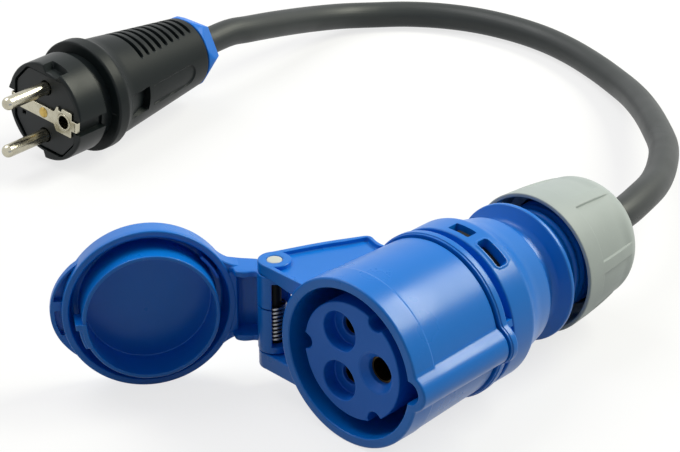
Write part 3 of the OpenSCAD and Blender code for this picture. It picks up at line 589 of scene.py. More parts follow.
@dataclass(frozen=True)
class PlasticFinish:
    """Moulded plastic or rubber: a body colour with slow patches, pale scuffs and a fine grain."""

    slot: str
    colour: Triple
    roughness: float
    shade: float = 0.88
    scuff: float = 0.12
    scuff_rough: float = 0.08
    pale_gain: float = 1.25
    pale_lift: float = 0.06
    rough_spread: Pair = (-0.04, 0.05)
    patch_scale: float = 55.0
    grain_scale: float = 2600.0
    grain_depth: float = 0.000012
    specular: float = 0.5
    streaks: float = 0.0
    streak_scale: Triple = (46.0, 7.0, 1.0)

    def make(self, skin: bpy.types.NodeTree) -> bpy.types.Material:
        """Build the material.

        Args:
            skin: The shared group of moulded surfaces.

        Returns:
            The material, named for its slot.
        """
        material, bench, shader, where = blank_material(self.slot)
        detail = bench.add("Group", {"Place": where["Object"], "Grain Scale": self.grain_scale,
                                     "Patch Scale": self.patch_scale}, node_tree=skin)
        full = np.array(linear(self.colour))
        deep = full * np.array([self.shade, self.shade, self.shade, 1])
        pale = np.minimum(full * self.pale_gain + np.array([self.pale_lift] * 3 + [0]), 1)
        body = bench.blend(detail["Patch"], tuple(full), tuple(deep))
        mark = bench.math("MULTIPLY", detail["Scuff"], self.scuff)
        rough = bench.spread(detail["Patch"], 0, 1, [self.roughness + by for by in self.rough_spread])
        height = detail["Grain"]
        if self.streaks:
            lie = bench.add("Mapping", {"Vector": where["UV"], "Scale": self.streak_scale})[0]
            height = bench.math("MULTIPLY_ADD", bench.noise(lie, 1.0, 3.0), self.streaks, height)
        dent = bench.add("Bump", {"Height": height, "Strength": 1.0, "Distance": self.grain_depth})
        bench.fill(shader, {"Base Color": bench.blend(mark, body, tuple(pale)), "Normal": dent[0],
                            "Roughness": bench.math("MULTIPLY_ADD", detail["Scuff"], self.scuff_rough, rough),
                            "Specular IOR Level": self.specular})
        return material


@dataclass(frozen=True)
class MetalFinish:
    """Plated or drawn metal: fine lines in the gloss and a slow tarnish in the colour."""

    slot: str
    colour: Triple
    tarnish: Triple
    roughness: float
    stretch: Triple = (2500.0, 160.0, 2500.0)
    tarnish_share: float = 0.45
    rough_spread: Pair = (-0.05, 0.1)
    line_depth: float = 0.000008

    def make(self, metal: bpy.types.NodeTree) -> bpy.types.Material:
        """Build the material.

        Args:
            metal: The shared group of metal surfaces.

        Returns:
            The material, named for its slot.
        """
        material, bench, shader, where = blank_material(self.slot)
        detail = bench.add("Group", {"Place": where["Object"], "Stretch": self.stretch}, node_tree=metal)
        share = bench.math("MULTIPLY", detail["Tarnish"], self.tarnish_share)
        rough = bench.spread(detail["Lines"], 0, 1, [self.roughness + by for by in self.rough_spread])
        dent = bench.add("Bump", {"Height": detail["Lines"], "Strength": 0.5, "Distance": self.line_depth})
        bench.fill(shader, {"Base Color": bench.blend(share, linear(self.colour), linear(self.tarnish)),
                            "Roughness": rough, "Normal": dent[0], "Metallic": 1.0})
        return material


PLASTICS = (
    PlasticFinish("blue_shell", (5, 115, 211), 0.3, shade=0.95, specular=0.3),
    PlasticFinish("blue_insert", (10, 106, 208), 0.42, shade=0.92, specular=0.3),
    # Dark latch plastic in its own colour; the pin's shaft and the slot's floor also take it, as painted
    # shade
    PlasticFinish("dark_latch", (20, 21, 21), 0.55, specular=0.2),
    PlasticFinish("grey_nut", (168, 177, 177), 0.5, shade=0.95, specular=0.3, grain_depth=0.00002),
    PlasticFinish("pale_ring", (205, 205, 200), 0.5),
    PlasticFinish("ivory_pin", (200, 204, 198), 0.4),
    PlasticFinish("seal_rubber", (40, 40, 41), 0.65),
    PlasticFinish("brown_wire", (92, 55, 30), 0.5),
    PlasticFinish("blue_wire", (40, 90, 185), 0.5),
    PlasticFinish("green_wire", (120, 150, 40), 0.5),
    PlasticFinish("cable_rubber", (34, 40, 40), 0.46, shade=0.9, specular=0.45, grain_scale=1900.0,
                  grain_depth=0.00003, streaks=1.6),
    PlasticFinish("black_plug", (23, 30, 31), 0.36, shade=0.9, specular=0.2, grain_depth=0.00002),
    PlasticFinish("black_face", (24, 30, 32), 0.42, shade=0.9, specular=0.3),
    PlasticFinish("black_grip", (19, 26, 27), 0.42, shade=0.9, specular=0.18, grain_depth=0.00003),
    PlasticFinish("blue_nut", (12, 116, 220), 0.42, shade=0.95, specular=0.3),
)
METALS = (
    MetalFinish("spring_steel", (150, 152, 154), (110, 106, 98), 0.3, (1200.0, 1200.0, 1200.0)),
    # Contact brass darkened well below plain brass so the contacts read dark in their holes: partly own
    # colour, partly painted shade
    MetalFinish("contact_brass", (78, 66, 42), (60, 50, 32), 0.4),
    MetalFinish("screw_steel", (180, 182, 184), (130, 128, 122), 0.35),
    MetalFinish("nickel", (188, 184, 166), (146, 138, 116), 0.22),
    MetalFinish("rivet_brass", (196, 168, 96), (130, 106, 62), 0.32),
)


def make_finishes() -> Finishes:
    """Build every finish once, by the name of its slot."""
    skin, metal = moulded_skin(), drawn_metal()
    return {f.slot: f.make(skin) for f in PLASTICS} | {f.slot: f.make(metal) for f in METALS}


# Connector

@dataclass
class SocketShell:
    """Front half of the connector: collar, key rib, bore with its key slot, and the two hinge plates.

    The upper plate's underside rises by lean_rise, over lean_run outwards from lean_x, and leaves lean_skin
    below its top as it is. Points of a plate's outline beyond wall_x lie in the shell's wall.
    """

    rim_len: float = 8.0
    rim_step: float = 0.2
    rim_slope: float = 0.4
    rim_edge: float = 0.7
    shell_r: float = 24.9
    bore_r: float = 22.9
    bore_edge: float = 0.5
    depth: float = 30.0
    web: float = 2.0
    length: float = 36.8
    tail_edge: float = 0.6
    tail_mid: float = 0.2
    rib_r: float = 5.7
    rib_fillet: float = 0.7
    slot_r: float = 3.6
    nose_r: float = 18.3
    seat_r: float = 22.4
    boss_r: float = 5.0
    boss_proud: float = 0.06
    pin_r: float = 2.4
    plate_low: float = 12.0
    plate_high: float = 17.4
    plate_edge: float = 0.45
    lean_rise: float = 2.0
    lean_x: float = -27.0
    lean_run: float = 4.0
    lean_skin: float = 2.0
    pocket: float = 1.3
    border: float = 1.9
    bend: Pair = (-33.7, 25.6)
    heel: Pair = (-26.3, 38.4)
    heel_end_x: float = -21.4
    wall_x: float = -18.2
    root_x: float = -15.0
    back_y: float = 36.2
    front_y: float = 2.0

    def shell(self) -> Skin:
        """Shell as rows of a profile times angles about the axis.

        The outer radius is the larger of the plain profile and the far side of the rib's bar, less the
        rounding of the edges; the inner radius is the larger of the bore and the far side of the slot's bar.

        Returns:
            The closed skin.
        """
        phi = np.radians(np.linspace(-96, 96, 45))
        slot = np.degrees(np.arctan2(self.slot_r * np.sin(phi), self.bore_r + self.slot_r * np.cos(phi)))
        near_rib, rest = np.arange(-16, 16.1, 0.4), np.arange(18, 342.1, 2.4)
        a = np.radians(np.unique(np.round(np.concatenate([near_rib, rest, slot]) % 360, 4)))
        rib = far_side(a, RIB_X, self.rib_r)
        key = far_side(a, self.bore_r, self.slot_r)
        side = rounded([(self.shell_r, self.length - self.tail_edge),
                        (RIM_R - self.rim_step, self.rim_len + self.rim_slope),
                        (RIM_R, self.rim_len), (RIM_R, self.rim_edge)], 0.25, closed=False)
        t = np.linspace(0, np.pi / 2, 7)
        tail_y = [self.length, self.length - self.tail_mid]
        inset = np.concatenate([[self.tail_edge, self.tail_mid], np.zeros(len(side)),
                                self.rim_edge * (1 - np.cos(t[1:]))])
        plain = np.concatenate([[self.shell_r] * 2, side[:, 0], np.full(len(t) - 1, RIM_R)])
        outer_y = np.concatenate([tail_y, side[:, 1], self.rim_edge * (1 - np.sin(t[1:]))])
        outer = smooth_max(plain[:, None], rib[None], self.rib_fillet) - inset[:, None]
        wall_y = np.concatenate([self.bore_edge * (1 - np.cos(t)), [2, 6, 14, 22, self.depth]])
        lead = np.concatenate([self.bore_edge * (1 - np.sin(t)), np.zeros(5)])
        inner = np.maximum(self.bore_r, key)[None] + lead[:, None]
        back = np.repeat([self.nose_r, self.seat_r], 2)[:, None] + 0 * a
        back_y = np.array([self.depth, self.depth + self.web, self.depth + self.web, self.length])
        y = np.concatenate([outer_y, wall_y, back_y])
        skin = Skin()
        skin.grid(around(np.vstack([outer, inner, back]), y[:, None], a), wrap_rows=True)
        return skin

    def lean(self, points: np.ndarray) -> np.ndarray:
        """Share of the underside's rise: none at the shell and at the top, all of it below, by the barrel.

        Args:
            points: Points of a plate.

        Returns:
            One share for each point.
        """
        top = self.plate_high - self.lean_skin
        out = np.clip((self.lean_x - points[:, 0]) / self.lean_run, 0, 1)
        return out * np.clip((top - points[:, 2]) / (top - self.plate_low), 0, 1)

    def plate(self, side: float) -> Skin:
        """One hinge plate: its outline drawn out, with a border round a pocket, and a boss for the pin.

        Where the outline runs into the shell, its points follow the middle of the shell's wall at each
        height. The upper plate's underside rises from the shell to the barrel.

        Args:
            side: 1 for the upper plate, -1 for the lower one.

        Returns:
            The skin of the plate.
        """
        nose = arc(HINGE, self.boss_r, 270, 148, 22)
        tail = [(self.heel_end_x, self.back_y + 0.1), (self.root_x, self.back_y)]
        corners = rounded([nose[-1], self.bend, self.heel, *tail], [0, 7, 2.2, 2, 0], 9, closed=False)
        outline = np.vstack([[(self.root_x, self.front_y)], nose, corners[1:]])[::-1]
        wall_r = 0.5 * (self.shell_r + self.bore_r)
        low, high, floor = self.plate_low, self.plate_high, self.plate_high - self.pocket

        def follow(points: np.ndarray, height: float) -> np.ndarray:
            """Move the root's points onto the shell's wall."""
            x = np.where(points[:, 0] > self.wall_x, -math.sqrt(wall_r ** 2 - height ** 2), points[:, 0])
            return np.stack([x, points[:, 1]], -1)

        # The edge is sharper by the shell's rim and at the heel
        front, heel = step(outline[:, 1], 8.0, 6.0), step(outline[:, 1], 35.5, 3.0)
        weight = np.where(outline[:, 0] > -34, 0.45 + 0.55 * front, 1.0) - 0.35 * heel
        levels = np.vstack([soft_levels(low, high, self.plate_edge), [
            (high, self.border - 0.25), (high - 0.08, self.border - 0.08), (high - 0.25, self.border),
            (floor + 0.2, self.border + 0.1), (floor, self.border + 0.35)]])
        skin = Skin()
        skin.prism(outline, levels, Across.UP, weight=weight, shape=follow)
        top, under, boss_r = high + self.boss_proud, floor - 0.8, self.boss_r - 0.05
        boss = rounded([(self.pin_r, under), (self.pin_r, top), (boss_r, top), (boss_r, under)], 0.45, 6)
        skin.lathe(boss, (*HINGE, 0), Across.UP, closed=True)
        rise = np.array([0, 0, self.lean_rise * (side > 0)])
        skin.points = [(p + self.lean(p)[:, None] * rise) * [1, 1, side] for p in skin.points]
        return skin

    def build(self, finishes: Finishes) -> None:
        """Make the shell and its plates.

        Args:
            finishes: All finishes, by slot.
        """
        finish_piece("socket_shell", self.shell(), finishes["blue_shell"], Body.ADAPTER, ["front_housing"])
        for name, side in (("hinge_plate_upper", 1.0), ("hinge_plate_lower", -1.0)):
            finish_piece(name, self.plate(side), finishes["blue_shell"], Body.ADAPTER)


@dataclass
class ContactBlock:
    """Insulating block in the socket: three grooves at its edge, two recessed openings and a coned one."""

    nose_r: float = 18.2
    face_y: float = 1.7
    pitch_r: float = 9.3
    notch_r: float = 2.7
    recess_r: float = 6.1
    recess_depth: float = 4.7
    throat_r: float = 2.9
    throat_len: float = 20.0
    cone_r: float = 6.2
    cone_depth: float = 2.0
    earth_r: float = 4.2
    web_y: float = 32.0
    flange_r: float = 22.3
    flange_y: float = 34.6
    tail_r: float = 16.0
    tail_y: float = 45.6
    edge: float = 0.45

    def notch_half(self) -> float:
        """Half of the angle that a notch takes from the block's edge."""
        return math.degrees(2 * math.asin(self.notch_r / (2 * self.nose_r)))

    def outline(self) -> np.ndarray:
        """Circle with three round notches: one third of the turn, repeated by turning it.

        Returns:
            The closed outline in X and Z.
        """
        half = self.notch_half()
        notch = arc((self.nose_r, 0), self.notch_r, 264 - half / 2, 96 + half / 2, 25)
        third = np.vstack([notch, arc((0, 0), self.nose_r, half + 0.6, 120 - half - 0.6, 44)])
        turns = np.radians(60 + 120 * np.arange(3))
        cos, sin = np.cos(turns), np.sin(turns)
        spin = np.stack([np.stack([cos, sin], -1), np.stack([-sin, cos], -1)], 1)
        return np.einsum("pc,kcd->kpd", third, spin).reshape(-1, 2)

    def build(self, finishes: Finishes) -> None:
        """Make the block: its nose as a prism with holes, cups behind the holes, and the turned back.

        Args:
            finishes: All finishes, by slot.
        """
        skin = Skin()
        centres = self.pitch_r * np.array([[math.cos(a), math.sin(a)] for a in np.radians([120, -120, 0])])
        holes = [ring(c, r, 72) for c, r in zip(centres, (self.recess_r, self.recess_r, self.cone_r))]
        outline = self.outline()
        off = np.mod(np.degrees(np.arctan2(outline[:, 1], outline[:, 0])), 120) - 60
        weight = np.clip(np.abs(np.abs(off) - self.notch_half()) / 4, 0.1, 1)
        levels = np.vstack([soft_levels(self.face_y, 8, self.edge, 6)[:6], [(self.web_y, 0)]])
        skin.prism(outline, levels, Across.BACK, holes, weight)
        floor, throat = self.face_y + self.recess_depth, self.face_y + self.cone_depth
        wall_r = self.recess_r - 0.02
        cup = [(self.recess_r + 0.3, floor - 1.2), (wall_r, floor - 1.0), (wall_r, floor),
               (self.throat_r, floor), (self.throat_r, floor + self.throat_len)]
        cone = [(self.cone_r + 0.2, self.face_y + 0.1), (self.cone_r - 0.12, self.face_y + 0.12),
                (self.earth_r, throat), (self.earth_r, throat + self.throat_len)]
        for centre, profile, radius in zip(centres, (cup, cup, cone), (0.5, 0.5, 0.4)):
            skin.lathe(rounded(profile, radius, 6, closed=False), (centre[0], 0, centre[1]))
        skin.lathe(np.array([(0, self.web_y), (self.flange_r, self.web_y), (self.flange_r, self.flange_y),
                             (self.tail_r, self.flange_y), (self.tail_r, self.tail_y), (0, self.tail_y)]))
        finish_piece("contact_block", skin, finishes["blue_insert"], Body.ADAPTER, ["contact_carrier"])


@dataclass
class RearHousing:
    """Back half of the connector: ring, groove, grip with window and slot, taper, neck, flange and thread.

    The window and the slot are first and last height, then first and last angle.
    """

    seam_y: float = 37.3
    seam_step: float = 0.35
    ring_end_y: float = 40.1
    groove_r: float = 22.8
    grip_y: float = 43.1
    grip_r: float = 25.5
    taper_y: float = 52.3
    taper_r: float = 20.7
    neck_y: float = 66.5
    neck_r: float = 17.4
    flange_y: float = 74.5
    flange_r: float = 22.1
    thread_y: float = 76.0
    thread_r: float = 17.2
    thread_pitch: float = 3.0
    thread_depth: float = 0.7
    end_y: float = 107.0
    bore_r: float = 14.1
    rib_r: float = 6.3
    rib_fillet: float = 0.8
    window: tuple[float, float, float, float] = (45.6, 49.4, 78.5, 95.0)
    window_corner: float = 0.35
    slot: tuple[float, float, float, float] = (45.4, 49.7, 49.0, 70.3)
    slot_corner: float = 1.0
    slot_lip: float = 0.22
    deep: float = 8.0
    latch: Pair = (79.0, 91.5)
    latch_sunk: float = 1.2
    # Depth of the near-black floor in the slot, which stands in for the slot's shade: painted shade
    shade_floor_sunk: float = 2.6
    block_r: float = 16.0
    bridge: Pair = (9.0, 15.0)
    bridge_sunk: float = 0.15

    def profile(self) -> np.ndarray:
        """Side line of the housing, with close rows at the window and the slot and along the thread.

        Returns:
            Rows of radius and height.
        """
        g, seam, seam_r = self.grip_r, self.seam_y, RIM_R - self.seam_step
        corners = [
            (self.bore_r, seam + 0.05), (seam_r, seam), (seam_r, seam + 0.55), (RIM_R, seam + 0.7),
            (RIM_R, self.ring_end_y), (self.groove_r, self.ring_end_y), (self.groove_r, self.grip_y),
            (g, self.grip_y), (g, self.taper_y), (g - 2.9, self.taper_y + 5.6), (self.taper_r, self.neck_y),
            (self.neck_r, self.neck_y), (self.neck_r, self.flange_y - 2.2),
            (self.flange_r - 1.2, self.flange_y - 0.5), (self.flange_r, self.flange_y),
            (self.flange_r, self.thread_y), (self.thread_r, self.thread_y), (self.thread_r, self.end_y),
            (self.bore_r, self.end_y)]
        radii = [0, 0.3, 0.1, 0.3, 0.5, 0.25, 0.25, 0.6, 0.8, 4, 0.9, 0.3, 1.5, 0.8, 0.4, 0.5, 0.3, 0.5, 0]
        line = refine(rounded(corners, radii, closed=False),
                      np.arange(self.window[0] - 1.1, self.window[1] + 1.0, 0.14))
        return refine(line, np.arange(self.thread_y + 0.6, self.end_y - 0.8, 0.3))

    def beside(self, y: np.ndarray, deg: np.ndarray, opening: Sequence[float], corner: float) -> np.ndarray:
        """Distance on the grip's surface to the edge of an opening with round corners, negative inside it.

        Args:
            y: Heights.
            deg: Angles.
            opening: First and last height, first and last angle.
            corner: Radius of its corners.

        Returns:
            Distances over heights and angles.
        """
        y0, y1, a0, a1 = opening
        along = np.abs(np.radians(deg - 0.5 * (a0 + a1))) - np.radians(0.5 * (a1 - a0)) + corner / self.grip_r
        across = np.abs(y - 0.5 * (y0 + y1)) - 0.5 * (y1 - y0) + corner
        return np.hypot(np.maximum(along * self.grip_r, 0), np.maximum(across, 0)) - corner

    def build(self, finishes: Finishes) -> None:
        """Make the housing as one field of radius, the dark latch in its window, and a near-black floor in
        its slot that stands in for the shade down in it (painted shade).

        The field over height and angle is the side line, raised to the rib's bar on the ring and to the
        bridge in the groove, lowered in the window and in the slot, which has a low lip, and cut by the
        thread's wave y / pitch - angle.

        Args:
            finishes: All finishes, by slot.
        """
        line = self.profile()
        base, y = line[:, :1], line[:, 1:]
        a = turn_angles((-17, 17, 0.5), (46, 99, 0.34), plain=2.5)[None]
        deg = np.degrees(a)
        on_ring = bump(y, self.seam_y - 1, self.ring_end_y + 0.01, 0.02) * (base > self.groove_r + 0.1)
        rib = far_side(a, RIB_X, self.rib_r) - (RIM_R - base)
        radius = np.where(on_ring > 0.5, smooth_max(base + 0 * a, rib, self.rib_fillet), base + 0 * a)
        lug = bump(deg, *self.bridge, 0.8) * bump(y, self.ring_end_y, self.grip_y, 0.3) * (base < self.grip_r)
        radius = radius + lug * np.maximum(self.grip_r - self.bridge_sunk - radius, 0)
        hole = self.beside(y, deg, self.window, self.window_corner)
        strip = self.beside(y, deg, self.slot, self.slot_corner)
        lip = self.slot_lip * (1 - step(strip, 0.75, 0.5)) * (base > self.grip_r - 0.2)
        cut = np.maximum(1 - step(hole, 0.0, 0.3), 1 - step(strip, 0.0, 0.3))
        radius = radius + lip - self.deep * cut
        wave = 0.5 - 0.5 * np.cos(2 * np.pi * (y / self.thread_pitch - a / (2 * np.pi)))
        radius = radius - self.thread_depth * wave * bump(y, self.thread_y + 1.6, self.end_y - 1.5, 0.8)
        skin = Skin()
        skin.grid(around(radius, y, a), wrap_rows=True)
        finish_piece("rear_shell", skin, finishes["blue_shell"], Body.ADAPTER, ["rear_housing"])
        head = Skin()
        head.bent_block(self.latch, (self.block_r, self.grip_r - self.latch_sunk),
                        (self.window[0] + 0.3, self.window[1] - 1.0), 0.25)
        # Painted shade: a near-black floor set into the slot stands in for the shade in its depth
        head.bent_block((self.slot[2] + 1, self.slot[3] - 1), (self.block_r, self.grip_r - self.shade_floor_sunk),
                        (self.slot[0] + 0.3, self.slot[1] - 0.3), 0.25)
        finish_piece("latch_and_painted_shade_floor", head, finishes["dark_latch"], Body.ADAPTER, ["carrier_latch"])


@dataclass
class CapNut:
    """Grey nut at the cable end, with sunk panels between narrow ridges round its back."""

    front_r: float = 22.7
    front_y: float = 83.0
    length: float = 31.5
    end_r: float = 15.0
    lip_r: float = 21.5
    bore_r: float = 18.1
    floor_y: float = 107.5
    panels: int = 6
    panel_in: float = 0.6
    panel_y: float = 90.6
    panel_share: float = 0.82
    ridge: float = 8.5

    def build(self, finishes: Finishes) -> None:
        """Make the nut: a turned profile, lowered in panels whose depth fades out towards the back.

        Args:
            finishes: All finishes, by slot.
        """
        r, y0, y1 = self.front_r, self.front_y, self.front_y + self.length
        outside = [(self.lip_r, y0), (r, y0), (r - 0.7, y0 + 0.35 * self.length),
                   (r - 1.6, y0 + 0.6 * self.length), (r - 2.7, y1 - 6.5), (r - 4.1, y1 - 3.5),
                   (self.end_r + 1.6, y1 - 1), (self.end_r, y1)]
        inside = [(CORD_HOLE_R, y1), (CORD_HOLE_R, self.floor_y), (self.bore_r, self.floor_y),
                  (self.bore_r, y0 + 13), (self.lip_r - 0.6, y0 + 12)]
        steps = 7
        line = rounded(outside + inside, [0.2, 0.5, 3, 4, 3, 2, 1, 0.6, 1.2, 0.2, 0.2, 0.2, 0.2], steps)
        extra = np.concatenate([np.linspace(self.panel_y - 0.5, self.panel_y + 0.5, 11),
                                np.arange(self.panel_y + 1, y1 - 7, 0.8)])
        line = refine(line, extra, len(outside) * steps)
        base, y = line[:, :1], line[:, 1:]
        outer = np.arange(len(line))[:, None] < len(line) - len(inside) * steps
        sector = 360 / self.panels
        ridges = self.ridge + sector * np.arange(self.panels)
        a = turn_angles(*[(c - 7.5, c + 7.5, 0.4) for c in ridges], plain=2.0)[None]
        off = np.abs(np.mod(np.degrees(a) - self.ridge, sector) - sector / 2)
        fade = step(y, self.panel_y, 0.5) * (1 - step(y, y1 - 8, 6)) * outer
        radius = base - self.panel_in * fade * (1 - step(off, self.panel_share / 2 * sector, 1.2))
        skin = Skin()
        skin.grid(around(radius, y, a), wrap_rows=True)
        finish_piece("cap_nut_shell", skin, finishes["grey_nut"], Body.CAP_NUT, ["cap_nut"])


@dataclass
class Lid:
    """Hinged lid, drawn shut: skirted cap with an inner ring, hook, rib, thumb tab, hollow arm and barrel.

    A pocket of the tab has its distance from the tab's edge, its angles on the tab's circle and those on the
    skirt's.
    """

    outer_r: float = 25.8
    back_r: float = 25.3
    back_y: float = -8.5
    floor_y: float = -6.5
    rim_y: float = -0.3
    skirt: float = 2.1
    groove_r: float = 22.5
    ring_r: float = 20.3
    ring_wall: float = 1.2
    ring_proud: float = 5.0
    hook: Pair = (-24.0, 0.0)
    rib: Pair = (135.0, 158.0)
    tab_reach: float = 29.1
    tab_r: float = 18.6
    tab_y: Pair = (-5.5, -3.0)
    tab_edge: float = 0.4
    tab_floor: float = 0.5
    root_r: float = 24.4
    pocket_r: float = 25.0
    pockets: tuple[tuple[float, Pair, Pair], ...] = (
        (0.75, (13, 50), (31, 8.6)), (1.4, (-26, 2.5), (1.7, -16.5)))
    barrel_r: float = 5.2
    cavity_r: float = 4.2
    half: float = 11.7
    barrel_top: float = 13.7
    barrel_slit: float = 3.0
    slit_half: float = 0.25
    knuckle: float = 2.2
    arm_wall: float = 2.0
    window: Pair = (68.0, 196.0)
    open_angle: float = 126.0
    pin_r: float = 2.05

    def cap(self, skin: Skin) -> None:
        """Add the cap with its skirt and inner ring, turned from one rounded profile.

        Args:
            skin: Skin of the lid.
        """
        inner = self.ring_r - self.ring_wall
        corners = [(0, self.back_y), (self.back_r - 1.0, self.back_y), (self.back_r, self.back_y + 1.2),
                   (self.outer_r, self.rim_y - 1.5), (self.outer_r, self.rim_y),
                   (self.outer_r - self.skirt, self.rim_y), (self.groove_r, self.floor_y),
                   (self.ring_r, self.floor_y), (self.ring_r, self.ring_proud), (inner, self.ring_proud),
                   (inner, self.floor_y), (0, self.floor_y)]
        radii = [0, 1.5, 1.0, 1.0, 0.6, 0.6, 0.7, 0.6, 0.45, 0.45, 0.4, 0]
        skin.lathe(rounded(corners, radii, closed=False), sides=160)

    def blocks(self, skin: Skin) -> None:
        """Add the hook on the inner ring, from three blocks, and the rib in the groove.

        Args:
            skin: Skin of the lid.
        """
        low, high = self.hook
        # Angles, distances from the ring's outside, heights and edge radius
        for angles, (inner, outer), heights, edge in (
                (self.hook, (-1.3, 0.3), (self.floor_y, 5.4), 0.4),
                ((high - 5.5, high), (-0.3, 2.0), (-2.0, 5.2), 0.3),
                ((low, high - 3.0), (-0.3, 1.1), (-4.0, 4.9), 0.4),
                (self.rib, (1.3, 2.3), (self.floor_y - 0.3, -0.6), 0.24)):
            skin.bent_block(angles, (self.ring_r + inner, self.ring_r + outer), heights, edge)

    def tab(self, skin: Skin) -> None:
        """Add the thumb tab: a crescent between the skirt and a wider circle, with two blind pockets.

        A thin floor closes the pockets on the lid's outer side.

        Args:
            skin: Skin of the lid.
        """
        x = self.tab_reach - self.tab_r
        meet = (self.root_r ** 2 - self.tab_r ** 2 + x ** 2) / (2 * x)
        side = math.sqrt(self.root_r ** 2 - meet ** 2)
        wide, near = math.degrees(math.atan2(side, meet - x)), math.degrees(math.atan2(side, meet))
        crescent = blunt(np.vstack([arc((x, 0), self.tab_r, -wide, wide, 61),
                                    arc((0, 0), self.root_r, near, -near, 41)[1:-1]]), 0.7)
        tips = 1.02 - step(np.abs(crescent[:, 1]), 12.5, 4)
        pockets = [blunt(np.vstack([arc((x, 0), self.tab_r - inset, *edge, 24),
                                    arc((0, 0), self.pocket_r, *root, 20)]), 0.3, 0.1)
                   for inset, edge, root in self.pockets]
        floor = self.tab_y[0] + self.tab_floor
        levels = soft_levels(*self.tab_y, self.tab_edge)
        skin.prism(crescent, np.vstack([levels[:4], [(floor, 0)]]), Across.BACK, weight=tips)
        skin.prism(crescent, np.vstack([[(floor - 0.05, 0)], levels[4:]]), Across.BACK, pockets, tips,
                   hole_share=0.3)

    def arm(self, skin: Skin) -> None:
        """Add the arm to the barrel: two flanges joined by a wall at the back, with a fillet at the skirt.

        Args:
            skin: Skin of the lid.
        """
        front = [(-23.6, self.rim_y - 0.1), (-24.8, self.rim_y), (-24.9, 2.4), (-27.4, 3.8), (-31.0, 3.6),
                 (-32.1, 5.0)]
        back = [(-41.1, 6.6), (-40.0, 1.5), (-36.0, -3.2), (-31.0, -5.2), (-28.2, -5.9), (-25.5, -7.2),
                (-22.4, -8.2), (-22.5, -6.6)]
        radii = [0.2, 3, 3, 3, 2, 2, 0.2, 0.2, 0.2, 0.3, 0.8, 2, 1.5, 0.3]
        flange = blunt(rounded(back + front, radii), 0.8, 0.25)
        hollow = [(-26.4, self.rim_y - 0.1), (-26.4, -3.7), (-28.6, -3.9), (-31.2, -3.2), (-34.4, -1.4),
                  (-35.2, 1.0), (-33.2, 2.6), (-32.1, 5.0)]
        wall = blunt(np.array(back + [front[0]] + hollow), 0.6)
        inner = self.half - self.arm_wall
        skin.prism(flange, soft_levels(inner, self.half, 0.6, 5), Across.UP)
        skin.prism(flange, soft_levels(-self.half, -inner, 0.6, 5), Across.UP)
        skin.prism(wall, np.array([(-inner - 0.2, 0), (inner + 0.2, 0)]), Across.UP)
        tip, bend, end = np.array([(-29.2, self.half - 0.3), (-23.2, self.half), (-19.6, 16.4)])
        fillet = np.vstack([bow(tip, bend, end, np.linspace(0, 1, 17)[:, None]),
                            [(-18.6, 15.6), (-21.2, self.half - 1.2), (-29.0, self.half - 1.2)]])
        levels = np.array([(-5.6, 0.3), (-5.3, 0), (-1.0, 0), (-0.7, 0.3)])
        for side in (1, -1):
            skin.prism(fillet * [1, side], levels, Across.BACK,
                       weight=0.02 + bump(fillet[:, 0], -27.5, -21.0, 2))

    def barrel(self, skin: Skin) -> None:
        """Add the barrel round the pin: a full knuckle at each end, and a slit wall with a window between.

        Args:
            skin: Skin of the lid.
        """
        top, bottom, inner, outer = self.barrel_top, -self.half, self.pin_r, self.barrel_r
        for low, high in ((top - self.knuckle, top), (bottom, self.knuckle + bottom)):
            profile = rounded([(inner, low), (inner, high), (outer, high), (outer, low)], 0.45, 6)
            skin.lathe(profile, (*HINGE, 0), Across.UP, closed=True)
        a0, a1 = self.window[1], self.window[0] + 360
        wall = np.vstack([arc(HINGE, outer, a0, a1, 60), arc(HINGE, self.cavity_r, a1, a0, 60)])
        for low, high in ((self.barrel_slit + self.slit_half, top - self.knuckle + 0.3),
                          (self.knuckle - 0.3 + bottom, self.barrel_slit - self.slit_half)):
            skin.prism(wall, np.array([(low, 0), (high, 0)]), Across.UP)

    def build(self, finishes: Finishes) -> None:
        """Make the lid shut, and swing it open about the hinge.

        Args:
            finishes: All finishes, by slot.
        """
        skin = Skin()
        self.cap(skin)
        self.blocks(skin)
        self.tab(skin)
        self.arm(skin)
        self.barrel(skin)
        pivot = np.array([*HINGE, 0])
        turn = turn_about("Z", -self.open_angle)
        skin.place(turn, pivot - turn @ pivot)
        finish_piece("lid_shell", skin, finishes["blue_shell"], Body.LID, ["lid"])


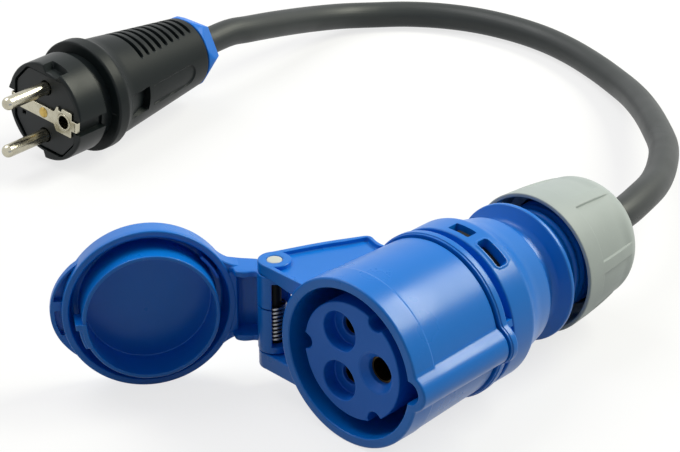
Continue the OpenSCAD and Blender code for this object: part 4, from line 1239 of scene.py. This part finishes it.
@dataclass
class HingeHardware:
    """Pin of the hinge and the torsion spring round it."""

    pin_r: float = 1.95
    pin_half: float = 17.6
    head_r: float = 2.35
    head_len: float = 1.2
    head_dome: float = 0.25
    coil_r: float = 3.1
    wire_r: float = 0.45
    turns: int = 9
    coil_low: float = -8.5
    rise: float = 1.26

    def build(self, finishes: Finishes) -> None:
        """Make the pin with domed ends and a near-black shaft that stands in for the shade inside the barrel
        (painted shade), and the spring as a wire along a screw line with a straight leg.

        Args:
            finishes: All finishes, by slot.
        """
        x, y = HINGE
        h, neck = self.pin_half, self.pin_half - self.head_len
        heads = Skin()
        head = rounded([(0, neck), (self.head_r, neck), (self.head_r, h - self.head_dome), (0, h)],
                       [0, 0.2, 0.5, 0], closed=False)
        for side in (1, -1):
            heads.lathe(head * [1, side], (x, y, 0), Across.UP, 48)
        finish_piece("pin_heads", heads, finishes["ivory_pin"], Body.ADAPTER, ["hinge_pin"])
        # Painted shade: the shaft takes the near-black dark_latch finish to stand in for the shade inside the
        # barrel's window
        shaft = Skin()
        shaft.lathe(np.array([(0, 1 - h), (self.pin_r, 1 - h), (self.pin_r, h - 1), (0, h - 1)]), (x, y, 0),
                    Across.UP, 48)
        finish_piece("pin_shaft_painted_shade", shaft, finishes["dark_latch"], Body.ADAPTER)
        t = np.linspace(0, 2 * np.pi * self.turns, 36 * self.turns)
        coil = np.stack([x - self.coil_r * np.sin(t), y + self.coil_r * np.cos(t),
                         self.coil_low + self.rise * t / (2 * np.pi)], -1)
        foot = (-math.sqrt(RIM_R ** 2 - self.coil_low ** 2) - 0.3, coil[0, 1] + 0.6, self.coil_low - 0.2)
        leg = np.linspace(foot, (x + 0.9, coil[0, 1], coil[0, 2]), 8)
        spring = Skin()
        spring.tube(np.vstack([leg, coil[1:]]), self.wire_r, 10)
        finish_piece("torsion_spring", spring, finishes["spring_steel"], Body.ADAPTER, ["lid_spring"])


# Plug

@dataclass
class Plug:
    """Earthed two-pin plug, drawn with its pin face at y = 0 and its pins towards -Y, then laid in place.

    The pocket and the panel of the grip count from the collar, and the panel's end from the handle's end.
    The strap's arms go from their foot to their inner and outer side.
    """

    roll: float = 6.0
    front_r: float = 18.6
    front_len: float = 13.0
    under_r: float = 16.6
    under_wall: float = 3.0
    wedge: Pair = (69.0, 91.0)
    wedge_depth: float = 2.4
    wedge_end_y: float = 4.4
    guide_half: float = 2.7
    guide_depth: float = 2.9
    collar_y: float = 17.5
    collar_r: float = 21.0
    collar_len: float = 5.5
    handle_r: float = 19.4
    handle_end_r: float = 13.6
    handle_end_y: float = 72.0
    grooves: int = 9
    groove_w: float = 1.5
    groove_y: Pair = (38.0, 68.0)
    groove_end_z: Pair = (13.6, 12.4)
    groove_depth: float = 1.6
    pocket_y: float = 3.0
    pocket_len: float = 10.0
    pocket_z: Pair = (-4.6, 4.4)
    pocket_depth: float = 0.4
    pocket_slope: float = 2.6
    panel_y: float = 16.0
    panel_end: float = 12.3
    panel_half: float = 3.9
    panel_depth: float = 0.5
    face_y: float = 0.6
    pin_r: float = 2.4
    pin_len: float = 19.6
    pin_root_y: float = 20.0
    pin_z: float = 9.5
    earth_x: float = 10.2
    earth_r: float = 2.45
    sleeve_r: float = 3.2
    rivet_hole_r: float = 1.25
    strap_half: float = 2.5
    strap_wide: float = 4.9
    strap_thick: float = 1.0
    tab_half: float = 2.0
    tab_x: Pair = (12.0, 16.4)
    arm_x: Triple = (15.4, 16.1, 16.8)
    arm_y: float = 1.4
    nut_y: float = 72.3
    nut_len: float = 7.7
    nut_end_r: float = 10.0
    nut_sides: int = 6
    nut_corner: float = 3.0

    def finish(self, name: str, skin: Skin, material: bpy.types.Material, node: str,
               body: Body = Body.ADAPTER) -> bpy.types.Object:
        """Lay a skin in the plug's place and finish it."""
        skin.place(turn_about("Z", PLUG_TURN) @ turn_about("Y", self.roll), np.array(PLUG_PLACE))
        return finish_piece(name, skin, material, body, [node])

    def block_outline(self, grow: float) -> np.ndarray:
        """Eight-sided outline of the face block, scaled about its middle."""
        half = [(9, 14.8), (15, 7.5), (15, -7.5), (9, -14.8)]
        return rounded(np.array(half + [(-x, -z) for x, z in half]) * grow, 1.2, 5)[::-1]

    def front(self) -> Skin:
        """Hard front: a round outline with guide slots and an opening for the block, and the undercut.

        Returns:
            The skin of the front.
        """
        reach = math.degrees(math.asin(self.guide_half / self.front_r))
        floor = np.stack([np.full(5, self.front_r - self.guide_depth),
                          np.linspace(-self.guide_half, self.guide_half, 5)], -1)
        side = np.vstack([floor, arc((0, 0), self.front_r, reach, 180 - reach, 90)])
        outline = np.vstack([side, -side])
        angle = np.degrees(np.arctan2(outline[:, 1], outline[:, 0]))

        def notch(points: np.ndarray, height: float) -> np.ndarray:
            """Sink the wedge recesses at the upper and lower edge.

            Args:
                points: Outline at one height.
                height: That height.

            Returns:
                The notched outline.
            """
            first, last = self.wedge
            wedges = bump(angle, first, last, 1.6) + bump(angle, first - 180, last - 180, 1.6)
            depth = self.wedge_depth * wedges * float(1 - step(np.array(height), self.wedge_end_y, 0.5))
            return points - depth[:, None] * unit(points)

        # Close levels lie where the wedges end
        close = [(y, 0) for y in (1.6, 4.1, 4.3, 4.5, 4.7)]
        levels = np.vstack([soft_levels(0, self.front_len, 0.8, 6)[:6], close,
                            soft_levels(0, self.front_len, 0.5)[4:]])
        skin = Skin()
        away = 0.15 + 0.85 * step(np.abs(outline[:, 1]), self.guide_half + 2, 2.4)
        skin.prism(outline, levels, Across.BACK, [self.block_outline(1.012)], away, notch, 0.15)
        outer, inner = self.under_r, self.under_r - self.under_wall
        low, high = self.front_len - 0.5, self.collar_y + 0.2
        skin.lathe(np.array([(outer, low), (outer, high), (inner, high), (inner, low)]), closed=True)
        return skin

    def earth_holes(self) -> list[np.ndarray]:
        """Outlines of the earth sleeve's hole and the rivet's."""
        return [ring((self.earth_x, 0), self.sleeve_r + 0.05, 40), ring((0, 0), self.rivet_hole_r, 24)]

    def block(self) -> Skin:
        """Face block with holes for the pins, the earth sleeve and the rivet, and a small slot.

        Returns:
            The skin of the block.
        """
        holes = [ring((0, s * self.pin_z), self.pin_r + 0.35, 40) for s in (1, -1)]
        slot = rounded([(-11.8, -5.3), (-10.2, -5.3), (-10.2, -3.9), (-11.8, -3.9)], 0.2, 4)
        skin = Skin()
        skin.prism(self.block_outline(0.985), soft_levels(self.face_y, 12, 0.35), Across.BACK,
                   [*holes, *self.earth_holes(), slot])
        return skin

    def strap(self) -> Skin:
        """Earth strap: a plate with a wider, notched end and two tabs, and a bent arm in each guide slot.

        Returns:
            The skin of the strap.
        """
        h, w, x, t = self.strap_half, self.strap_wide, self.earth_x, self.tab_half
        near, far = x - w, x + 0.8 * w
        root, end = self.tab_x
        foot, inside, outside = self.arm_x
        plate = rounded([(-end, -t), (-root, -t), (-root, -h), (near, -h), (near + 1.2, -w), (far, -w),
                         (far, -t), (end, -t), (end, t), (far, t), (far, w), (x - 1.2, w),
                         (x - 1.2, w - 1.2), (x - 2.8, w - 1.2), (x - 2.8, w), (near + 1.2, w), (near, h),
                         (-root, h), (-root, t), (-end, t)], 0.5, 5)
        skin = Skin()
        top = self.face_y - self.strap_thick
        skin.prism(plate, soft_levels(top, self.face_y, 0.18), Across.BACK, self.earth_holes())
        arm = np.array([(foot, top), (outside, top), (outside, self.arm_y), (inside, self.arm_y),
                        (inside, top + self.strap_thick), (foot, top + self.strap_thick)])
        for side in (1, -1):
            bent = rounded(arm * [side, 1], [0.3, 0.8, 0.3, 0.3, 0.3, 0.3], 6)
            skin.prism(bent, soft_levels(-t, t, 0.15), Across.UP)
        return skin

    def handle_y(self) -> float:
        """Distance from the pin face to the end of the collar, where the grip's handle starts."""
        return self.collar_y + self.collar_len

    def handle_at(self, y: float) -> float:
        """Radius of the handle at a distance behind the pin face."""
        y0 = self.handle_y()
        return self.handle_r - (self.handle_r - self.handle_end_r) * (y - y0) / (self.handle_end_y - y0)

    def handle_line(self) -> np.ndarray:
        """Side line of the grip, with close rows along its handle.

        Returns:
            Rows of radius and height.
        """
        y0, y1 = self.handle_y(), self.handle_end_y
        corners = [(self.under_r - 1, self.collar_y), (self.collar_r, self.collar_y),
                   (self.collar_r, y0 - 0.4), (self.handle_r + 0.3, y0 + 1.2),
                   (self.handle_at(y0 + 4), y0 + 4), (self.handle_end_r, y1), (CORD_HOLE_R + 3, y1)]
        line = rounded(corners, [0, 1.0, 1.0, 1.4, 2, 0.7, 0], 8, closed=False)
        return refine(line, np.arange(y0 + 2.6, y1 - 1.2, 0.2))

    def grip(self) -> Skin:
        """Rubber grip as one field of radius over height and angle.

        Grooves of one depth run over its top and bottom and end in a round at a height above the axis that
        falls towards the back; a pocket that deepens towards the back and a shallow panel lie at both sides.

        Returns:
            The closed skin.
        """
        line = self.handle_line()
        y = line[:, 1:]
        a = turn_angles((-18, 18, 0.9), (162, 198, 0.9), plain=1.8)[None]
        radius = line[:, :1] + 0 * a
        z = radius * np.sin(a)
        first, last = self.groove_y
        pitch = (last - first) / (self.grooves - 1)
        off = np.abs(np.mod(y - first + pitch / 2, pitch) - pitch / 2)
        share = np.clip((y - first) / (last - first), 0, 1)
        end = self.groove_end_z[0] + share * (self.groove_end_z[1] - self.groove_end_z[0])
        reach = np.hypot(off, np.maximum(end + self.groove_w / 2 - np.abs(z), 0))
        groove = (1 - step(reach, self.groove_w / 2, 0.35)) * bump(y, first - 1.4, last + 1.4, 0.2)
        y0 = self.handle_y()
        start = y0 + self.pocket_y
        pocket = bump(y, start, start + self.pocket_len, 0.35) * bump(z, *self.pocket_z, 0.4)
        back = np.clip((y - y0 - self.pocket_y) / self.pocket_len, 0, 1)
        slope = self.pocket_depth + self.pocket_slope * back
        beside = np.hypot(np.maximum(y - (self.handle_end_y - self.panel_end), 0), z)
        panel = (1 - step(beside, self.panel_half, 0.4)) * step(y, y0 + self.panel_y, 0.5)
        radius = radius - self.groove_depth * groove - slope * pocket - self.panel_depth * panel
        skin = Skin()
        skin.grid(around(radius, y, a))
        inner = np.array([(CORD_HOLE_R + 3, self.handle_end_y), (self.under_r - 1, self.collar_y)])
        skin.lathe(inner, sides=a.shape[1])
        return skin

    def clamp_nut(self) -> Skin:
        """Clamp nut: the smaller of a round bar and of six planes that lean inwards towards the back.

        Returns:
            The closed skin.
        """
        y0, y1, r = self.nut_y, self.nut_y + self.nut_len, self.handle_end_r
        steps = 7
        outside = [(CORD_HOLE_R, y0), (r, y0), (r, y1)]
        line = rounded(outside + [(CORD_HOLE_R, y1)], [0.2, 0.5, 0.6, 0.8], steps)
        line = refine(line, np.linspace(y0 + 0.8, y1 - 0.8, 14), len(outside) * steps)
        base, y = line[:, :1], line[:, 1:]
        a = np.radians(np.arange(0, 360, 1.25))[None]
        sector = 2 * np.pi / self.nut_sides
        off = np.mod(a - math.radians(self.nut_corner), sector) - sector / 2
        lean = (r - self.nut_end_r) / self.nut_len
        plane = (r - (y - y0) * lean) / np.cos(off)
        faceted = smooth_min(r + 0 * a, plane, 0.3) - np.minimum(r - base, 1.0)
        skin = Skin()
        skin.grid(around(np.where(base > CORD_HOLE_R + 2.5, faceted, base + 0 * a), y, a), wrap_rows=True)
        return skin

    def pin(self, height: float) -> Skin:
        """One contact pin: a straight bar with a round tip.

        Args:
            height: Its height above the middle of the face.

        Returns:
            The skin of the pin.
        """
        tip = arc((0, self.pin_r - self.pin_len), self.pin_r, -90, 0, 14)
        root = [(self.pin_r, self.pin_root_y), (0, self.pin_root_y)]
        skin = Skin()
        skin.lathe(np.vstack([tip, root]), (0, 0, height), sides=48)
        return skin

    def turned(self, corners: Sequence[Pair], radius: float, x: float) -> Skin:
        """Small turned part about an axis square to the pin face.

        Args:
            corners: Corners of its profile.
            radius: Radius at those corners.
            x: Place of the axis on the face, level with its middle.

        Returns:
            The skin of the part.
        """
        skin = Skin()
        skin.lathe(rounded(corners, radius, closed=False), (x, 0, 0), sides=48)
        return skin

    def build(self, finishes: Finishes) -> list[bpy.types.Object]:
        """Make every visible piece of the plug.

        Args:
            finishes: All finishes, by slot.

        Returns:
            The pieces.
        """
        top = self.face_y - self.strap_thick
        lip = top - 0.15
        rivet = [(0, top - 0.75), (1.4, top - 0.7), (2.0, top - 0.1), (1.9, top + 0.1), (1.2, top + 0.1),
                 (1.2, 6), (0, 6)]
        sleeve = [(self.earth_r, 17), (self.earth_r, lip), (self.sleeve_r, lip), (self.sleeve_r, 26)]
        pieces = (
            ("plug_shell", self.front(), "black_plug", "plug_front"),
            ("plug_face", self.block(), "black_face", "pin_carrier"),
            ("earth_plate", self.strap(), "nickel", "earth_strap"),
            ("line_pin", self.pin(self.pin_z), "nickel", "plug_line_pin"),
            ("neutral_pin", self.pin(-self.pin_z), "nickel", "plug_neutral_pin"),
            ("face_rivet", self.turned(rivet, 0.5, 0), "rivet_brass", "earth_rivet"),
            ("sleeve_ring", self.turned(sleeve, 0.3, self.earth_x), "nickel", "earth_sleeve"),
            ("plug_handle", self.grip(), "black_grip", "plug_grip"))
        made = [self.finish(name, skin, finishes[slot], node) for name, skin, slot, node in pieces]
        nut = self.finish("clamp_nut", self.clamp_nut(), finishes["blue_nut"], "plug_nut", Body.PLUG_NUT)
        return [*made, nut]


# Cable

@dataclass
class Cable:
    """Rubber cable from the connector's nut round its loop to the plug.

    The nut's run counts from the nut's end, and the plug's run from the pin face.
    """

    radius: float = 5.25
    sides: int = 36
    steps: int = 9
    start_y: float = 88.0
    nut_end_y: float = 114.5
    nut_run: Triple = (-13.0, 1.0, 14.0)
    free_run: tuple[Triple, ...] = (
        (-3, 143, -0.5), (-8, 158, -2), (-17, 175, -4.5), (-29, 193, -7.5), (-44, 210, -11), (-60, 226, -14),
        (-76, 240, -17), (-92, 251, -19.3), (-109, 260, -20.5), (-126, 266, -20.7), (-142, 269, -20.7),
        (-158, 269, -20.7), (-174, 266, -20.7), (-188, 260, -20.7), (-200, 251.5, -20.7),
        (-209, 240.5, -20.3), (-214.5, 228, -18.7), (-216, 213.5, -16), (-215, 199, -12.8),
        (-213, 184, -9.4), (-211.4, 170, -6.6))
    plug_run: tuple[float, ...] = (98.0, 84.0, 68.0, 47.0)
    ends_in: tuple[str, ...] = ("plug_screws", "plug_seal", "plug_clamp_ring", "plug_line_wire",
                                "plug_neutral_wire", "plug_earth_wire")

    def route(self) -> np.ndarray:
        """Points of the centre line, as the part's source lays it.

        Returns:
            The points, from the connector to the plug.
        """
        head = [(0, self.start_y, 0)] + [(0, self.nut_end_y + by, 0) for by in self.nut_run]
        a = math.radians(PLUG_TURN)
        back = np.array(self.plug_run)[:, None]
        tail = np.array(PLUG_PLACE) + back * np.array([-math.sin(a), math.cos(a), 0])
        return np.vstack([head, self.free_run, tail])

    def centre_line(self) -> np.ndarray:
        """Smooth line through the route's points.

        Between two points P1 and P2 with neighbours P0 and P3 it is the Catmull-Rom cubic,
        0.5 (2 P1 + (P2 - P0) t + (2 P0 - 5 P1 + 4 P2 - P3) t^2 + (3 P1 - P0 - 3 P2 + P3) t^3).

        Returns:
            Points of the line.
        """
        p = self.route()
        ends = np.vstack([2 * p[0] - p[1], p, 2 * p[-1] - p[-2]])
        p0, p1, p2, p3 = (ends[i:len(ends) - 3 + i, None] for i in range(4))
        t = np.linspace(0, 1, self.steps, endpoint=False)[None, :, None]
        line = 0.5 * (2 * p1 + (p2 - p0) * t + (2 * p0 - 5 * p1 + 4 * p2 - p3) * t ** 2
                      + (3 * p1 - p0 - 3 * p2 + p3) * t ** 3)
        return np.vstack([line.reshape(-1, 3), p[-1:]])

    def build(self, finishes: Finishes, on_it: Sequence[bpy.types.Object]) -> None:
        """Args:
            finishes: All finishes, by slot.
            on_it: Pieces of the plug; not used.
        """
        line = self.centre_line()
        skin = Skin()
        skin.tube(line, self.radius, self.sides)
        piece = finish_piece("rubber_cable", skin, finishes["cable_rubber"], Body.ADAPTER, ["cable"])
        mesh = piece.data
        length = run_along(line) * MM
        corner = np.empty(len(mesh.loops), np.int32)
        mesh.loops.foreach_get("vertex_index", corner)
        turn = (corner % self.sides) / self.sides
        along = length[np.minimum(corner // self.sides, len(length) - 1)]
        uv = mesh.uv_layers.new(name="lengthwise")
        uv.data.foreach_set("uv", np.stack([turn, along], -1).astype(np.float32).ravel())


# Inner parts

INNER_PARTS = {
    "contact_brass": ("line_contact", "neutral_contact", "earth_contact"),
    "screw_steel": ("contact_screws", "plug_screws"),
    "seal_rubber": ("cable_seal", "plug_seal"),
    "pale_ring": ("clamp_ring", "plug_clamp_ring"),
    "brown_wire": ("line_wire", "plug_line_wire"),
    "blue_wire": ("neutral_wire", "plug_neutral_wire"),
    "green_wire": ("earth_wire", "plug_earth_wire"),
}


def dress_inner_parts(finishes: Finishes) -> None:
    """Give the CAD nodes that keep their own shape their finishes.

    Args:
        finishes: All finishes, by slot.
    """
    for slot, names in INNER_PARTS.items():
        for name in names:
            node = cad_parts[name]
            node.data.materials.clear()
            node.data.materials.append(finishes[slot])
            LOG.info("%s dressed as %s", name, slot)


# Studio

@dataclass(frozen=True)
class Lamp:
    """Rectangular soft lamp, in metres, aimed at the middle of the part with its length along a direction."""

    name: str
    place: Triple
    along: Triple
    size: Pair
    power: float
    colour: Triple = (1.0, 1.0, 1.0)
    target: Triple = (-0.08, 0.09, 0.0)

    def make(self) -> None:
        """Put the lamp into the scene."""
        data = bpy.data.lights.new(self.name, "AREA")
        data.shape = "RECTANGLE"
        data.size, data.size_y = self.size
        data.energy = self.power
        data.color = self.colour
        lamp = bpy.data.objects.new(self.name, data)
        lamp.location = self.place
        back = (Vector(self.place) - Vector(self.target)).normalized()
        side = (Vector(self.along) - back * back.dot(Vector(self.along))).normalized()
        lamp.rotation_euler = Matrix((side, back.cross(side), back)).transposed().to_euler()
        bpy.context.scene.collection.objects.link(lamp)


LAMPS = (
    Lamp("back_lamp", (0.5, 1.14, 1.16), (0.9, 0.0, -0.45), (1.0, 0.36), 23.0, (1.0, 1.0, 0.84)),
    Lamp("left_lamp", (-0.9, -0.1, 1.4), (0.0, 1.0, 0.0), (1.0, 1.0), 12.5),
)


@dataclass
class Studio:
    """Camera at the photograph's viewpoint, the room's light, a pale floor and the lamps."""

    camera_place: Triple = (365.51, -393.42, 317.15)
    azimuth: float = 43.104
    elevation: float = 26.989
    focal_px: float = 2208.0
    width_px: float = 680.0
    sensor: float = 36.0
    clip_end: float = 100.0
    floor_half: float = 6.0
    paper: Pair = (0.42, 0.92)
    glow: float = 0.75
    bright_side: Triple = (-0.55, 0.35, 0.76)
    room_range: Pair = (-0.4, 0.85)
    room_light: Pair = (0.05, 0.42)

    def camera(self) -> None:
        """Make the camera: it looks along (-sin az cos el, cos az cos el, -sin el)."""
        data = bpy.data.cameras.new("camera")
        data.sensor_fit = "HORIZONTAL"
        data.sensor_width = self.sensor
        data.lens = self.sensor * self.focal_px / self.width_px
        data.clip_end = self.clip_end
        camera = bpy.data.objects.new("camera", data)
        bpy.context.scene.collection.objects.link(camera)
        az, el = math.radians(self.azimuth), math.radians(self.elevation)
        look = Vector((-math.sin(az) * math.cos(el), math.cos(az) * math.cos(el), -math.sin(el)))
        camera.rotation_euler = look.to_track_quat("-Z", "Y").to_euler()
        camera.location = Vector(self.camera_place) * MM
        bpy.context.scene.camera = camera

    def shown(self, bench: Bench) -> bpy.types.NodeSocket:
        """One for rays from the camera, from gloss and through glass, and 0 for the rest.

        Args:
            bench: Bench on the tree that asks.

        Returns:
            The output with that value.
        """
        path = bench.add("LightPath")
        indirect = bench.math("MAXIMUM", path["Is Glossy Ray"], path["Is Transmission Ray"])
        return bench.math("MAXIMUM", path["Is Camera Ray"], indirect)

    def floor(self) -> None:
        """Make the pale floor, which shows itself brighter to the camera and keeps the part's shadow."""
        mesh = bpy.data.meshes.new("floor")
        h, z = self.floor_half, FLOOR_Z * MM
        mesh.from_pydata([(-h, -h, z), (h, -h, z), (h, h, z), (-h, h, z)], [], [(0, 1, 2, 3)])
        floor = bpy.data.objects.new("floor", mesh)
        bpy.context.scene.collection.objects.link(floor)
        material = bpy.data.materials.new("floor_paper")
        material.use_nodes = True
        nodes = material.node_tree.nodes
        nodes.remove(nodes["Principled BSDF"])
        bench = Bench(material.node_tree)
        shown = self.shown(bench)
        grey, white = [(tone, tone, tone, 1) for tone in self.paper]
        paper = bench.add("BsdfDiffuse", {"Color": bench.blend(shown, grey, white)})[0]
        glow = bench.add("Emission", {"Color": (1, 1, 1, 1), "Strength": 1.0})[0]
        mix = bench.add("MixShader", {0: bench.math("MULTIPLY", shown, self.glow), 1: paper, 2: glow})[0]
        bench.fill(nodes["Material Output"].inputs, {"Surface": mix})
        mesh.materials.append(material)

    def world(self) -> None:
        """Make the room's light: white to the camera, else brightest behind and above, darkest in front."""
        world = bpy.data.worlds.new("room")
        bpy.context.scene.world = world
        world.use_nodes = True
        bench = Bench(world.node_tree)
        where = bench.add("TexCoord")["Generated"]
        ahead = bench.add("VectorMath", {0: where, 1: self.bright_side}, operation="DOT_PRODUCT")["Value"]
        room = bench.spread(ahead, *self.room_range, self.room_light)
        light = bench.math("MAXIMUM", self.shown(bench), room)
        bench.fill(world.node_tree.nodes["Background"].inputs, {"Strength": light, "Color": (1, 1, 1, 1)})

    def build(self) -> None:
        """Set up the whole studio."""
        self.camera()
        self.world()
        self.floor()
        for lamp in LAMPS:
            lamp.make()
        bpy.context.scene.view_settings.view_transform = "Standard"


def main() -> None:
    """Build the studio, the cable with its plug, and the connector, in that order."""
    logging.basicConfig(level=logging.INFO, format="%(name)s: %(message)s")
    Studio().build()
    finishes = make_finishes()
    plug = Plug().build(finishes)
    Cable().build(finishes, plug)
    for part in (SocketShell(), ContactBlock(), RearHousing(), CapNut(), Lid(), HingeHardware()):
        part.build(finishes)
    dress_inner_parts(finishes)


if __name__ == "__main__":
    main()
